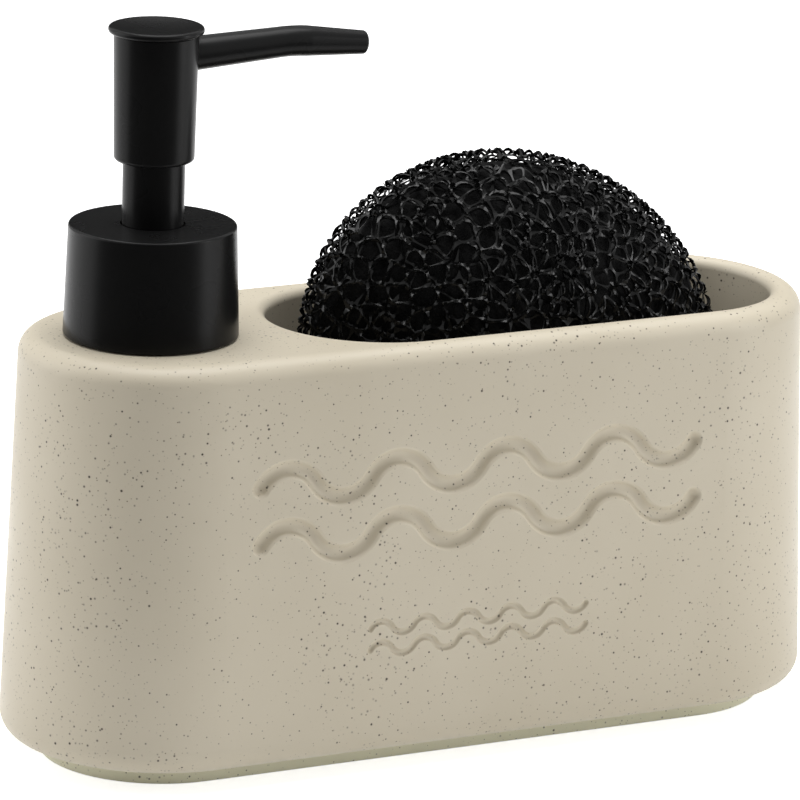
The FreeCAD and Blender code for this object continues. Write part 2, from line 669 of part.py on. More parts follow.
def ball_retainer():
    plate = disc(HOUSING_BORE - 2 * FIT_GAP, HOUSING_SHOULDER_Z, RETAINER_TOP_Z)
    for i in range(RETAINER_HOLE_COUNT):
        hole = disc(RETAINER_HOLE_DIAMETER, HOUSING_SHOULDER_Z - OVERRUN, RETAINER_TOP_Z + OVERRUN)
        hole.translate(Vec(RETAINER_HOLE_CIRCLE / 2, 0, 0))
        hole.rotate(ORIGIN, UP, FULL_TURN_DEG * i / RETAINER_HOLE_COUNT)
        plate = plate.cut(hole)
    return on_pump(plate)


def check_ball():
    return on_pump(Part.makeSphere(BALL_DIAMETER / 2, Vec(0, 0, BALL_Z)))


def dip_tube():
    foot_z = RESERVOIR_FLOOR_Z + DIP_TUBE_FLOOR_GAP
    return on_pump(ring(DIP_TUBE_DIAMETER, DIP_TUBE_BORE, foot_z, DIP_TUBE_TOP_Z))


def arc_between(start, corner, end):
    """Arc that leaves start towards corner and reaches end coming from corner."""
    middle = (start + end) / 2
    cosine = start.distanceToPoint(end) / 2 / start.distanceToPoint(corner)
    return Part.Arc(start, middle + (corner - middle) * (cosine / (1 + cosine)), end).toShape()


def biarc(start, start_way, end, end_way):
    """Two arcs that meet smoothly and keep both end directions."""
    across = end - start
    ways = start_way + end_way
    bend = 2 * (1 - start_way.dot(end_way))
    along = across.dot(ways)
    reach = (math.sqrt(along * along + bend * across.dot(across)) - along) / bend
    first = start + start_way * reach
    second = end - end_way * reach
    join = (first + second) / 2
    return [arc_between(start, first, join), arc_between(join, second, end)]


def return_spring():
    """Open coil between the retainer and the piston seat, one unbroken round wire."""
    radius = (SPRING_DIAMETER - SPRING_WIRE) / 2
    low = RETAINER_TOP_Z + SPRING_WIRE / 2 + RUNNING_GAP
    high = SEAT_FLANGE_Z - SPRING_WIRE / 2 - RUNNING_GAP
    pitch = (high - low) / SPRING_TURNS

    def place(turn):
        angle = 2 * math.pi * turn
        return Vec(radius * math.cos(angle), radius * math.sin(angle), low + pitch * turn)

    def way(turn):
        angle = 2 * math.pi * turn
        around = 2 * math.pi * radius
        return Vec(-around * math.sin(angle), around * math.cos(angle), pitch).normalize()

    steps = SPRING_TURNS * SPRING_STEPS_PER_TURN
    stations = [i / SPRING_STEPS_PER_TURN for i in range(steps + 1)]
    edges = []
    for a, b in zip(stations, stations[1:]):
        edges += biarc(place(a), way(a), place(b), way(b))
    section = Part.Wire(Part.Circle(place(0), way(0), SPRING_WIRE / 2).toShape())
    spring = Part.Wire(edges).makePipeShell([section], True, False)
    next_turn = [place(1 + i / FULL_TURN_DEG) for i in range(-QUARTER_TURN_DEG, QUARTER_TURN_DEG)]
    nearest = min(place(0).distanceToPoint(point) for point in next_turn)
    print("return_spring least gap to itself", round(nearest - SPRING_WIRE, 2))
    return on_pump(upright(spring))


def piston_rod():
    """Hollow stem with a stop above the piston and ports at its foot."""
    bore = ROD_BORE / 2
    outer = ROD_DIAMETER / 2
    stop = ROD_STOP_DIAMETER / 2
    stem = turned(sharp([
        (bore, SEAT_TOP_Z),
        (outer, SEAT_TOP_Z),
        (outer, ROD_STOP_Z),
        (stop, ROD_STOP_Z),
        (stop, ROD_STOP_TOP_Z),
        (outer, ROD_STOP_TOP_Z),
        (outer, ROD_TOP_Z),
        (bore, ROD_TOP_Z),
    ]))
    port = Part.makeBox(
        ROD_DIAMETER + 2 * OVERRUN, ROD_PORT_WIDTH, ROD_PORT_HEIGHT + OVERRUN,
        Vec(-outer - OVERRUN, -ROD_PORT_WIDTH / 2, SEAT_TOP_Z - OVERRUN))
    return on_pump(stem.cut(port))


def piston():
    """Hub on the rod, a web, and a skirt that seals in the housing."""
    bore = ROD_DIAMETER / 2 + PISTON_CLEARANCE
    hub = bore + PISTON_HUB_WALL
    skirt = HOUSING_BORE / 2 - PISTON_CLEARANCE
    skirt_bore = skirt - PISTON_SKIRT_WALL
    web_z = PISTON_Z + (PISTON_LENGTH - PISTON_WEB_THICKNESS) / 2
    web_top_z = web_z + PISTON_WEB_THICKNESS
    return on_pump(turned(sharp([
        (bore, PISTON_Z),
        (hub, PISTON_Z),
        (hub, web_z),
        (skirt_bore, web_z),
        (skirt_bore, PISTON_Z),
        (skirt, PISTON_Z),
        (skirt, PISTON_TOP_Z),
        (skirt_bore, PISTON_TOP_Z),
        (skirt_bore, web_top_z),
        (hub, web_top_z),
        (hub, PISTON_TOP_Z),
        (bore, PISTON_TOP_Z),
    ])))


def piston_seat():
    """Plug under the piston: a flatted spigot in the rod, a flange, and a nose in the spring."""
    flange = disc(SPRING_DIAMETER, SEAT_FLANGE_Z, SEAT_TOP_Z)
    nose = disc(SEAT_NOSE_DIAMETER, SEAT_FLANGE_Z - SEAT_NOSE_LENGTH, SEAT_FLANGE_Z)
    spigot = disc(ROD_BORE - 2 * FIT_GAP, SEAT_TOP_Z, SEAT_TOP_Z + SEAT_SPIGOT_LENGTH)
    flats = Part.makeBox(
        SEAT_SPIGOT_FLAT_WIDTH, ROD_BORE, SEAT_SPIGOT_LENGTH,
        Vec(-SEAT_SPIGOT_FLAT_WIDTH / 2, -ROD_BORE / 2, SEAT_TOP_Z))
    return on_pump(fused([flange, nose, spigot.common(flats)]))


def cross_bore(diameter, reach):
    """Cylinder along +X from the pump's axis at the spout's height."""
    return Part.makeCylinder(diameter / 2, reach, Vec(0, 0, SPOUT_Z), ALONG_X)


def barrel_envelope():
    """The barrel's outer cone, filled."""
    low = BARREL_BASE_DIAMETER / 2
    high = BARREL_TOP_DIAMETER / 2
    return Part.makeCone(low, high, BARREL_TOP_Z - BARREL_BASE_Z, Vec(0, 0, BARREL_BASE_Z))


def head_barrel():
    base = BARREL_BASE_DIAMETER / 2
    top = BARREL_TOP_DIAMETER / 2
    bore = BARREL_BORE / 2
    sleeve = turned([
        (bore, BARREL_BASE_Z, 0),
        (base, BARREL_BASE_Z, BARREL_EDGE_RADIUS),
        (top, BARREL_TOP_Z, BARREL_TOP_RADIUS),
        (bore, BARREL_TOP_Z, 0),
    ])
    return on_pump(sleeve.cut(cross_bore(SPOUT_SOCKET_DIAMETER, BARREL_TOP_DIAMETER)))


def button_cap():
    """Thin plate with a rounded rim, a shallow dish on top and a spigot in the barrel."""
    outer = BUTTON_DIAMETER / 2
    spigot = BARREL_BORE / 2 - FIT_GAP
    spigot_bore = spigot - BUTTON_SPIGOT_WALL
    spigot_z = BUTTON_Z - BUTTON_SPIGOT_HEIGHT
    plate = turned([
        (0, BUTTON_Z, 0),
        (spigot_bore, BUTTON_Z, 0),
        (spigot_bore, spigot_z, 0),
        (spigot, spigot_z, 0),
        (spigot, BUTTON_Z, 0),
        (outer, BUTTON_Z, BUTTON_EDGE_RADIUS),
        (outer, BUTTON_TOP_Z, BUTTON_EDGE_RADIUS),
        (0, BUTTON_TOP_Z, 0),
    ])
    dish_reach = outer - BUTTON_RIM_WIDTH
    dish_radius = (dish_reach * dish_reach / BUTTON_DISH_DEPTH + BUTTON_DISH_DEPTH) / 2
    dish = Part.makeSphere(dish_radius, Vec(0, 0, BUTTON_TOP_Z - BUTTON_DISH_DEPTH + dish_radius))
    return on_pump(plate.cut(dish))


def actuator_core():
    """Plug in the barrel: a sleeve that turns on the rod, and the way from rod to spout."""
    outer = BARREL_BORE / 2 - FIT_GAP
    sleeve = CORE_SLEEVE_DIAMETER / 2
    socket = ROD_DIAMETER / 2 + HEAD_TURN_CLEARANCE
    sleeve_z = CORE_Z - CORE_SLEEVE_LENGTH
    socket_top_z = ROD_TOP_Z + STOP_GAP
    plug = turned(sharp([
        (socket, sleeve_z),
        (sleeve, sleeve_z),
        (sleeve, CORE_Z),
        (outer, CORE_Z),
        (outer, CORE_TOP_Z),
        (0, CORE_TOP_Z),
        (0, socket_top_z),
        (socket, socket_top_z),
    ]))
    way_up = disc(ROD_BORE, socket_top_z - STOP_GAP, SPOUT_Z)
    way_out = cross_bore(SPOUT_SOCKET_DIAMETER, BARREL_BORE)
    return on_pump(plug.cut(way_up).cut(way_out))


def spout():
    """Tapered tube along +X that rises a little, bends and points slightly down."""
    root = Vec(0, 0, SPOUT_Z)
    bend = Vec(SPOUT_BEND_REACH, 0, SPOUT_Z + SPOUT_BEND_RISE)
    tip = Vec(SPOUT_TIP_REACH, 0, SPOUT_Z - SPOUT_TIP_DROP)
    first_way = (bend - root).normalize()
    last_way = (tip - bend).normalize()
    start = root + first_way * (BARREL_BORE / 2)
    bend_in = bend - first_way * SPOUT_BEND_RUN
    bend_out = bend + last_way * SPOUT_BEND_RUN
    bend_mid = (bend_in + bend_out) / 4 + bend / 2
    root_end = circle_wire(start, first_way, SPOUT_ROOT_DIAMETER)
    bend_start = circle_wire(bend_in, first_way, SPOUT_BEND_DIAMETER)
    bend_middle = circle_wire(bend_mid, first_way + last_way, SPOUT_BEND_DIAMETER)
    bend_end = circle_wire(bend_out, last_way, SPOUT_BEND_DIAMETER)
    tip_end = circle_wire(tip, last_way, SPOUT_TIP_DIAMETER)
    rising_run = upright(Part.makeLoft([root_end, bend_start], True, True))
    curve = upright(Part.makeLoft([bend_start, bend_middle, bend_end], True, False))
    falling_run = upright(Part.makeLoft([bend_end, tip_end], True, True))
    tube = fused([rising_run, curve, falling_run])
    tip_edges = [edge for edge in tube.Edges if edge.BoundBox.XMin > tip.x - SPOUT_TIP_DIAMETER / 2]
    tube = tube.makeFillet(SPOUT_TIP_RADIUS, tip_edges)
    tube = tube.cut(barrel_envelope())
    spigot_start = ROD_BORE / 2
    spigot = Part.makeCylinder(
        SPOUT_SPIGOT_DIAMETER / 2, BARREL_TOP_DIAMETER - spigot_start,
        Vec(spigot_start, 0, SPOUT_Z), ALONG_X)
    bore_in = Part.makeCylinder(SPOUT_BORE / 2, bend.distanceToPoint(root), root, first_way)
    bore_joint = Part.makeSphere(SPOUT_BORE / 2, bend)
    bore_out = Part.makeCylinder(SPOUT_BORE / 2, tip.distanceToPoint(bend) + OVERRUN, bend, last_way)
    way = bore_in.multiFuse([bore_joint, bore_out])
    return on_pump(tube.fuse(spigot).cut(way).removeSplitter())


NODES = {
    "ceramic_body": ceramic_body,
    "neck_insert": neck_insert,
    "neck_seal": neck_seal,
    "closure": closure,
    "collar_shell": collar_shell,
    "pump_housing": pump_housing,
    "housing_gasket": housing_gasket,
    "guide_tube": guide_tube,
    "ball_retainer": ball_retainer,
    "check_ball": check_ball,
    "dip_tube": dip_tube,
    "return_spring": return_spring,
    "piston_rod": piston_rod,
    "piston": piston,
    "piston_seat": piston_seat,
    "head_barrel": head_barrel,
    "button_cap": button_cap,
    "actuator_core": actuator_core,
    "spout": spout,
    "scouring_pad": scouring_pad,
}


def main():
    os.makedirs("parts", exist_ok=True)
    for name, make in NODES.items():
        shape = make()
        shape.exportStep(f"parts/{name}.step")
        box = shape.BoundBox
        print(
            name, "solids", len(shape.Solids), "valid", shape.isValid(), "volume", round(shape.Volume, 1),
            "z", round(box.ZMin, 2), round(box.ZMax, 2))


main()
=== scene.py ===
# %% [markdown]
# # A soap pump caddy
# The object is a cast ceramic block with a soap space and a pad well, a black screw-on pump,
# and a black open-cell foam pad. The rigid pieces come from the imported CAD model, which is
# loaded first and never moved. This script gives every piece its finish and makes the two
# pieces whose real form is too fine for CAD: the foam of the pad and the wire of the spring.

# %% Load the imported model
import itertools
import math

import bpy
import numpy as np
from mathutils import Matrix, Vector


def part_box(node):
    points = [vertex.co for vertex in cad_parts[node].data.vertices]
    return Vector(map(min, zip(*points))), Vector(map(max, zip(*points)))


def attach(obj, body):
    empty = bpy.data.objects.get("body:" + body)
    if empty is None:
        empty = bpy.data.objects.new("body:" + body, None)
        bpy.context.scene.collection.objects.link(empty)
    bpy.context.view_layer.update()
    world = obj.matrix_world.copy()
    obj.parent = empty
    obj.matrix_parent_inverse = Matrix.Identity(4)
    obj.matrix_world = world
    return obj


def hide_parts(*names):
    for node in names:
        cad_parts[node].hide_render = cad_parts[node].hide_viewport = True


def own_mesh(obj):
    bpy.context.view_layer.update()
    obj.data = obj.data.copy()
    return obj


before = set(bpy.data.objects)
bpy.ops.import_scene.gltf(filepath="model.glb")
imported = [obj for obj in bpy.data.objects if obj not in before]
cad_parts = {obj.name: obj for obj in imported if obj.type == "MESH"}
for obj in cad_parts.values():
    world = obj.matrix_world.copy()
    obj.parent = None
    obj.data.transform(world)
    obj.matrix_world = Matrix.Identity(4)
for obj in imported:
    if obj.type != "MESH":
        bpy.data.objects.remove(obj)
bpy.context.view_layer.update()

MM = 0.001

# %% [markdown]
# ## Camera
# The picture is taken from the front left and a little above, with a long lens, so the
# upright edges stay nearly parallel. A camera can be set by dragging it in the viewport. Here
# its angles and distance are numbers, so that the same view comes back on every run.

# %% Camera
VIEW_AZIMUTH = math.radians(-27.27)
VIEW_ELEVATION = math.radians(15.45)
VIEW_ROLL = math.radians(1.69)
VIEW_DISTANCE = 1.3796
AIM_POINT = Vector((-0.0033, 0.0, 0.0693))
LENS_MM = 297.7
CLIP_END = 20.0


def camera_matrix():
    """Camera axes as columns: right and up turned by the roll, and the way back from the aim."""
    back = Vector((
        math.sin(VIEW_AZIMUTH) * math.cos(VIEW_ELEVATION),
        -math.cos(VIEW_AZIMUTH) * math.cos(VIEW_ELEVATION),
        math.sin(VIEW_ELEVATION),
    ))
    level_right = Vector((0, 0, 1)).cross(back).normalized()
    level_up = back.cross(level_right)
    right = level_right * math.cos(VIEW_ROLL) + level_up * math.sin(VIEW_ROLL)
    up = level_up * math.cos(VIEW_ROLL) - level_right * math.sin(VIEW_ROLL)
    turn = Matrix((right, up, back)).transposed().to_4x4()
    return Matrix.Translation(AIM_POINT + back * VIEW_DISTANCE) @ turn


camera = bpy.data.objects.new("camera", bpy.data.cameras.new("camera"))
camera.data.lens = LENS_MM
camera.data.clip_end = CLIP_END
camera.matrix_world = camera_matrix()
bpy.context.scene.collection.objects.link(camera)
bpy.context.scene.camera = camera
print("camera at", [round(value, 3) for value in camera.location])

# %% [markdown]
# ## Surfaces from arrays
# Every new piece here is a grid of points worked out by a formula. numpy computes all points
# at once, and `foreach_set` copies them into the mesh, which is far quicker than adding
# vertices one by one.

# %% Helpers that turn arrays into meshes
def mesh_object(name, points, loops, sizes):
    """An object from an (n, 3) array of points, the corner indices of all faces in one row,
    and the number of corners of each face."""
    mesh = bpy.data.meshes.new(name)
    mesh.vertices.add(len(points))
    mesh.vertices.foreach_set("co", np.asarray(points, np.float32).ravel())
    mesh.loops.add(len(loops))
    mesh.loops.foreach_set("vertex_index", np.asarray(loops, np.int32))
    mesh.polygons.add(len(sizes))
    starts = np.concatenate([[0], np.cumsum(sizes)[:-1]])
    mesh.polygons.foreach_set("loop_start", starts.astype(np.int32))
    mesh.update(calc_edges=True)
    mesh.validate()
    mesh.shade_smooth()
    piece = bpy.data.objects.new(name, mesh)
    bpy.context.scene.collection.objects.link(piece)
    print(name, "faces:", len(mesh.polygons))
    return piece


def grid_quads(rows, columns, wrap_columns):
    """Corner indices of the quads of a rows x columns grid of points; the last column joins
    the first one if wrap_columns is true."""
    row = np.arange(rows - 1)[:, None]
    column = np.arange(columns if wrap_columns else columns - 1)[None, :]
    beside = (column + 1) % columns
    corners = [row * columns + column, row * columns + beside,
               (row + 1) * columns + beside, (row + 1) * columns + column]
    return np.stack(np.broadcast_arrays(*corners), -1).reshape(-1, 4)


# %% [markdown]
# ## Studio
# A product picture like this has a soft light on each side, one above, and a white sweep
# behind. The sweep could be a lit backdrop, but then it would also flood the object with
# light. Instead the world and the floor are lifted to white only for rays that the camera, a
# reflection or a see-through piece sends out. The object gets its light from the three panels,
# and a little from all round, where the world is a faint grey. Black plastic would mirror the
# white all over and look grey, so two black cards are set up out of the picture, as
# photographers do: one behind for the flat tops, and one in front that leans back.

# %% Rays that look
def seen_directly(nodes, links):
    """1 for rays from the camera, from reflections and through clear pieces, and 0 for light."""
    path = nodes.new("ShaderNodeLightPath")
    camera_or_mirror = nodes.new("ShaderNodeMath")
    camera_or_mirror.operation = "MAXIMUM"
    links.new(path.outputs["Is Camera Ray"], camera_or_mirror.inputs[0])
    links.new(path.outputs["Is Glossy Ray"], camera_or_mirror.inputs[1])
    any_look = nodes.new("ShaderNodeMath")
    any_look.operation = "MAXIMUM"
    links.new(camera_or_mirror.outputs[0], any_look.inputs[0])
    links.new(path.outputs["Is Transmission Ray"], any_look.inputs[1])
    return any_look.outputs[0]


# %% Floor
FLOOR_REACH = 4.0
FLOOR_TONE = (0.90, 0.90, 0.90, 1)
FLOOR_LIFT = 0.70


def floor_material():
    """Plain pale floor that takes the shadow, lifted to white where it is seen."""
    material = bpy.data.materials.new("studio_floor")
    material.use_nodes = True
    nodes, links = material.node_tree.nodes, material.node_tree.links
    shader = nodes["Principled BSDF"]
    shader.inputs["Base Color"].default_value = FLOOR_TONE
    shader.inputs["Roughness"].default_value = 1.0
    shader.inputs["Specular IOR Level"].default_value = 0.0
    shader.inputs["Emission Color"].default_value = (1, 1, 1, 1)
    lift = nodes.new("ShaderNodeMath")
    lift.operation = "MULTIPLY"
    lift.inputs[1].default_value = FLOOR_LIFT
    links.new(seen_directly(nodes, links), lift.inputs[0])
    links.new(lift.outputs[0], shader.inputs["Emission Strength"])
    return material


floor_corners = FLOOR_REACH * np.array([[-1, -1, 0], [1, -1, 0], [1, 1, 0], [-1, 1, 0]])
floor = mesh_object("studio_floor", floor_corners, [0, 1, 2, 3], [4])
floor.data.materials.append(floor_material())

# %% White world
AMBIENT = 0.17


def white_world():
    """A world that is white where it is seen and grey where it only lights."""
    world = bpy.data.worlds.new("white_sweep")
    world.use_nodes = True
    nodes, links = world.node_tree.nodes, world.node_tree.links
    strength = nodes.new("ShaderNodeMapRange")
    strength.inputs["To Min"].default_value = AMBIENT
    strength.inputs["To Max"].default_value = 1.0
    links.new(seen_directly(nodes, links), strength.inputs["Value"])
    nodes["Background"].inputs["Color"].default_value = (1, 1, 1, 1)
    links.new(strength.outputs["Result"], nodes["Background"].inputs["Strength"])
    bpy.context.scene.world = world


white_world()
print("ambient light:", AMBIENT)

# %% Black cards
CARD_TONE = (0.01, 0.01, 0.01, 1)
CARDS = {
    "back_card": {"azimuth": 153.0, "near": (1.2, 0.15), "far": (1.2, 0.74), "width": 1.4},
    "front_card": {"azimuth": -34.0, "near": (0.14, 0.004), "far": (1.7, 1.3), "width": 0.85},
}


def card_material():
    """Dull black, for cards."""
    material = bpy.data.materials.new("black_card")
    material.use_nodes = True
    shader = material.node_tree.nodes["Principled BSDF"]
    shader.inputs["Base Color"].default_value = CARD_TONE
    shader.inputs["Roughness"].default_value = 1.0
    shader.inputs["Specular IOR Level"].default_value = 0.0
    return material


def black_card(name, azimuth, near, far, width):
    """A card that only reflections see. Its near and far edges are given by how far out, along
    the azimuth, and how high they are."""
    turn = math.radians(azimuth)
    outward = np.array([math.sin(turn), -math.cos(turn), 0])
    side = np.array([math.cos(turn), math.sin(turn), 0]) * width / 2
    low, high = (outward * reach + np.array([0, 0, height]) for reach, height in (near, far))
    card = mesh_object(name, [low - side, low + side, high + side, high - side], [0, 1, 2, 3], [4])
    card.data.materials.append(card_material())
    card.visible_camera = False
    card.visible_diffuse = False
    card.visible_shadow = False


for card_name, card in CARDS.items():
    black_card(card_name, **card)

# %% Light panels
PANELS = {
    "left_panel": {"at": (-0.95, 0.57, 0.38), "size": (0.80, 1.20), "watts": 6.1},
    "right_panel": {"at": (0.52, -0.42, 0.25), "size": (0.085, 0.50), "watts": 1.38},
    "top_panel": {"at": (0.05, 0.10, 1.10), "size": (0.90, 0.80), "watts": 12.7},
}


def light_panel(name, at, size, watts):
    """A soft rectangular light that faces the middle of the object."""
    lamp = bpy.data.lights.new(name, "AREA")
    lamp.shape = "RECTANGLE"
    lamp.size, lamp.size_y = size
    lamp.energy = watts
    panel = bpy.data.objects.new(name, lamp)
    away = Vector(at) - AIM_POINT
    panel.visible_camera = False
    panel.matrix_world = Matrix.Translation(at) @ away.to_track_quat("Z", "Y").to_matrix().to_4x4()
    bpy.context.scene.collection.objects.link(panel)


for panel_name, panel in PANELS.items():
    light_panel(panel_name, **panel)
bpy.context.scene.view_settings.view_transform = "Standard"
print("panels:", list(PANELS))

# %% [markdown]
# ## Effects that several finishes share
# A real surface is never one flat colour. Three effects come back in many of the finishes, so
# each is a node group that is built once: broad cloudy variation, the fine grain that a mould
# leaves, and small specks. All of them read Object coordinates, which stick to the piece.

# %% Empty node groups
def new_group(name, inputs, outputs):
    """An empty shader node group with float sockets, and a vector socket called Place."""
    group = bpy.data.node_groups.new(name, "ShaderNodeTree")
    group.interface.new_socket("Place", in_out="INPUT", socket_type="NodeSocketVector")
    for socket in inputs:
        group.interface.new_socket(socket, in_out="INPUT", socket_type="NodeSocketFloat")
    for socket in outputs:
        group.interface.new_socket(socket, in_out="OUTPUT", socket_type="NodeSocketFloat")
    return group, group.nodes.new("NodeGroupInput"), group.nodes.new("NodeGroupOutput")


# %% Cloudy variation
CLOUD_OCTAVES = 3.0
NOISE_LOW = 0.3
NOISE_HIGH = 0.7


def make_cloud_group():
    """Noise of a few octaves. It mostly stays between NOISE_LOW and NOISE_HIGH, and that range is
    stretched to run from Low to High."""
    group, source, result = new_group("cloud", ["Scale", "Low", "High"], ["Value"])
    noise = group.nodes.new("ShaderNodeTexNoise")
    noise.inputs["Detail"].default_value = CLOUD_OCTAVES
    spread = group.nodes.new("ShaderNodeMapRange")
    spread.inputs["From Min"].default_value = NOISE_LOW
    spread.inputs["From Max"].default_value = NOISE_HIGH
    group.links.new(source.outputs["Place"], noise.inputs["Vector"])
    group.links.new(source.outputs["Scale"], noise.inputs["Scale"])
    group.links.new(noise.outputs["Fac"], spread.inputs["Value"])
    group.links.new(source.outputs["Low"], spread.inputs["To Min"])
    group.links.new(source.outputs["High"], spread.inputs["To Max"])
    group.links.new(spread.outputs["Result"], result.inputs["Value"])
    return group


CLOUD = make_cloud_group()
print("shared effect:", CLOUD.name)

# %% Moulded grain
FINER = 3.0


def make_grain_group():
    """Fine moulded grain: the sum of a small noise and one that is FINER times as fine."""
    group, source, result = new_group("moulded_grain", ["Scale"], ["Height"])
    coarse = group.nodes.new("ShaderNodeTexNoise")
    fine = group.nodes.new("ShaderNodeTexNoise")
    finer_scale = group.nodes.new("ShaderNodeMath")
    finer_scale.operation = "MULTIPLY"
    finer_scale.inputs[1].default_value = FINER
    total = group.nodes.new("ShaderNodeMath")
    total.operation = "ADD"
    group.links.new(source.outputs["Scale"], finer_scale.inputs[0])
    group.links.new(source.outputs["Scale"], coarse.inputs["Scale"])
    group.links.new(finer_scale.outputs[0], fine.inputs["Scale"])
    for noise in (coarse, fine):
        group.links.new(source.outputs["Place"], noise.inputs["Vector"])
    group.links.new(coarse.outputs["Fac"], total.inputs[0])
    group.links.new(fine.outputs["Fac"], total.inputs[1])
    group.links.new(total.outputs[0], result.inputs["Height"])
    return group


GRAIN = make_grain_group()
print("shared effect:", GRAIN.name)

# %% Specks
FAINTEST_SPECK = 0.5
BOLDEST_SPECK = 1.6


def make_speck_group():
    """Balls at scattered points, one per cell of a Voronoi texture. A surface that cuts a ball
    shows a round speck. Radius is in cell widths, and Crowding scales it from place to place.
    Each cell's random colour makes its speck fainter or bolder."""
    group, source, result = new_group("specks", ["Scale", "Radius", "Crowding"], ["Mask"])
    cells = group.nodes.new("ShaderNodeTexVoronoi")
    group.links.new(source.outputs["Place"], cells.inputs["Vector"])
    group.links.new(source.outputs["Scale"], cells.inputs["Scale"])
    reach = group.nodes.new("ShaderNodeMath")
    reach.operation = "MULTIPLY"
    group.links.new(source.outputs["Radius"], reach.inputs[0])
    group.links.new(source.outputs["Crowding"], reach.inputs[1])
    ball = group.nodes.new("ShaderNodeMapRange")
    ball.interpolation_type = "SMOOTHSTEP"
    ball.inputs["From Min"].default_value = 0.0
    ball.inputs["To Min"].default_value = 1.0
    ball.inputs["To Max"].default_value = 0.0
    group.links.new(cells.outputs["Distance"], ball.inputs["Value"])
    group.links.new(reach.outputs[0], ball.inputs["From Max"])
    shades = group.nodes.new("ShaderNodeSeparateColor")
    group.links.new(cells.outputs["Color"], shades.inputs["Color"])
    strength = group.nodes.new("ShaderNodeMapRange")
    strength.inputs["To Min"].default_value = FAINTEST_SPECK
    strength.inputs["To Max"].default_value = BOLDEST_SPECK
    group.links.new(shades.outputs["Red"], strength.inputs["Value"])
    mask = group.nodes.new("ShaderNodeMath")
    mask.operation = "MULTIPLY"
    mask.use_clamp = True
    group.links.new(ball.outputs["Result"], mask.inputs[0])
    group.links.new(strength.outputs["Result"], mask.inputs[1])
    group.links.new(mask.outputs[0], result.inputs["Mask"])
    return group


SPECKS = make_speck_group()
print("shared effect:", SPECKS.name)

# %% [markdown]
# ## Building a finish
# A finish is a Principled shader with groups plugged into it. A small class keeps the wiring
# short: it makes the material, places groups with their values, and mixes colours.

# %% A helper for finishes
class Finish:
    """A material under construction, with its Principled shader and Object coordinates."""

    def __init__(self, name):
        self.material = bpy.data.materials.new(name)
        self.material.use_nodes = True
        self.nodes = self.material.node_tree.nodes
        self.links = self.material.node_tree.links
        self.shader = self.nodes["Principled BSDF"]
        self.place = self.nodes.new("ShaderNodeTexCoord").outputs["Object"]

    def set(self, **values):
        """Set plain values on the shader; an underscore stands for a space."""
        for name, value in values.items():
            self.shader.inputs[name.replace("_", " ")].default_value = value

    def effect(self, group, output, **values):
        """Place a shared group, give it values or links, and return one output."""
        node = self.nodes.new("ShaderNodeGroup")
        node.node_tree = group
        self.links.new(self.place, node.inputs["Place"])
        for name, value in values.items():
            if isinstance(value, bpy.types.NodeSocket):
                self.links.new(value, node.inputs[name])
            else:
                node.inputs[name].default_value = value
        return node.outputs[output]

    def mix(self, share, first, second):
        """Blend two colours, each a plain colour or a link, by a mask. A Mix node's colour sockets
        are its inputs 6 and 7 and its output 2."""
        node = self.nodes.new("ShaderNodeMix")
        node.data_type = "RGBA"
        self.links.new(share, node.inputs["Factor"])
        for socket, colour in ((node.inputs[6], first), (node.inputs[7], second)):
            if isinstance(colour, bpy.types.NodeSocket):
                self.links.new(colour, socket)
            else:
                socket.default_value = (*colour, 1)
        return node.outputs[2]

    def colour(self, link):
        """Feed the base colour from a link."""
        self.links.new(link, self.shader.inputs["Base Color"])

    def clouded(self, scale, first, second):
        """Base colour that drifts between two tones."""
        self.colour(self.mix(self.effect(CLOUD, "Value", Scale=scale, Low=0.0, High=1.0), first, second))

    def roughness(self, scale, low, high):
        """Cloudy roughness between two values."""
        cloud = self.effect(CLOUD, "Value", Scale=scale, Low=low, High=high)
        self.links.new(cloud, self.shader.inputs["Roughness"])

    def bump(self, height, depth, strength):
        """Raise the surface by a height link, depth metres at full height; bumps chain up."""
        node = self.nodes.new("ShaderNodeBump")
        node.inputs["Strength"].default_value = strength
        node.inputs["Distance"].default_value = depth
        self.links.new(height, node.inputs["Height"])
        normal = self.shader.inputs["Normal"]
        if normal.is_linked:
            self.links.new(normal.links[0].from_socket, node.inputs["Normal"])
        self.links.new(node.outputs["Normal"], normal)


def paint(node_name, finish):
    """Give a CAD node its finish."""
    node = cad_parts[node_name]
    node.data.materials.clear()
    node.data.materials.append(finish.material)
    print(node_name, "gets", finish.material.name)


# %% [markdown]
# ## Speckled glaze
# The body is cast stoneware under a satin cream glaze. Iron grains in the clay melt through it
# as small dark brown specks, crowded in some places and sparse in others, some sharp and some
# faint under the glaze. The foot is wiped clean before firing, so it is paler and a little
# greener, and its colour is made lighter still as painted bounce light from the floor. Specks
# could be painted on an image, but balls in space cut by the surface give round dots of many
# sizes on every side, with no seams.

# %% Speckled glaze
GLAZE_LIGHT = (0.645, 0.583, 0.462)
GLAZE_DARK = (0.600, 0.538, 0.418)
# Bare clay, made lighter than the clay is, as painted bounce light from the floor.
BARE_CLAY_AND_PAINTED_BOUNCE = (0.890, 0.860, 0.670)
IRON_DARK = (0.040, 0.027, 0.016)
IRON_FAINT = (0.190, 0.145, 0.095)
FOOT_TOP = 3.9 * MM
GLAZE_EDGE = 0.3 * MM


def foot_mask(finish):
    """1 on the foot below the glaze line and 0 above it, from the height alone."""
    height = finish.nodes.new("ShaderNodeSeparateXYZ")
    finish.links.new(finish.place, height.inputs[0])
    line = finish.nodes.new("ShaderNodeMapRange")
    line.inputs["From Min"].default_value = FOOT_TOP + GLAZE_EDGE
    line.inputs["From Max"].default_value = FOOT_TOP
    finish.links.new(height.outputs["Z"], line.inputs["Value"])
    return line.outputs["Result"]


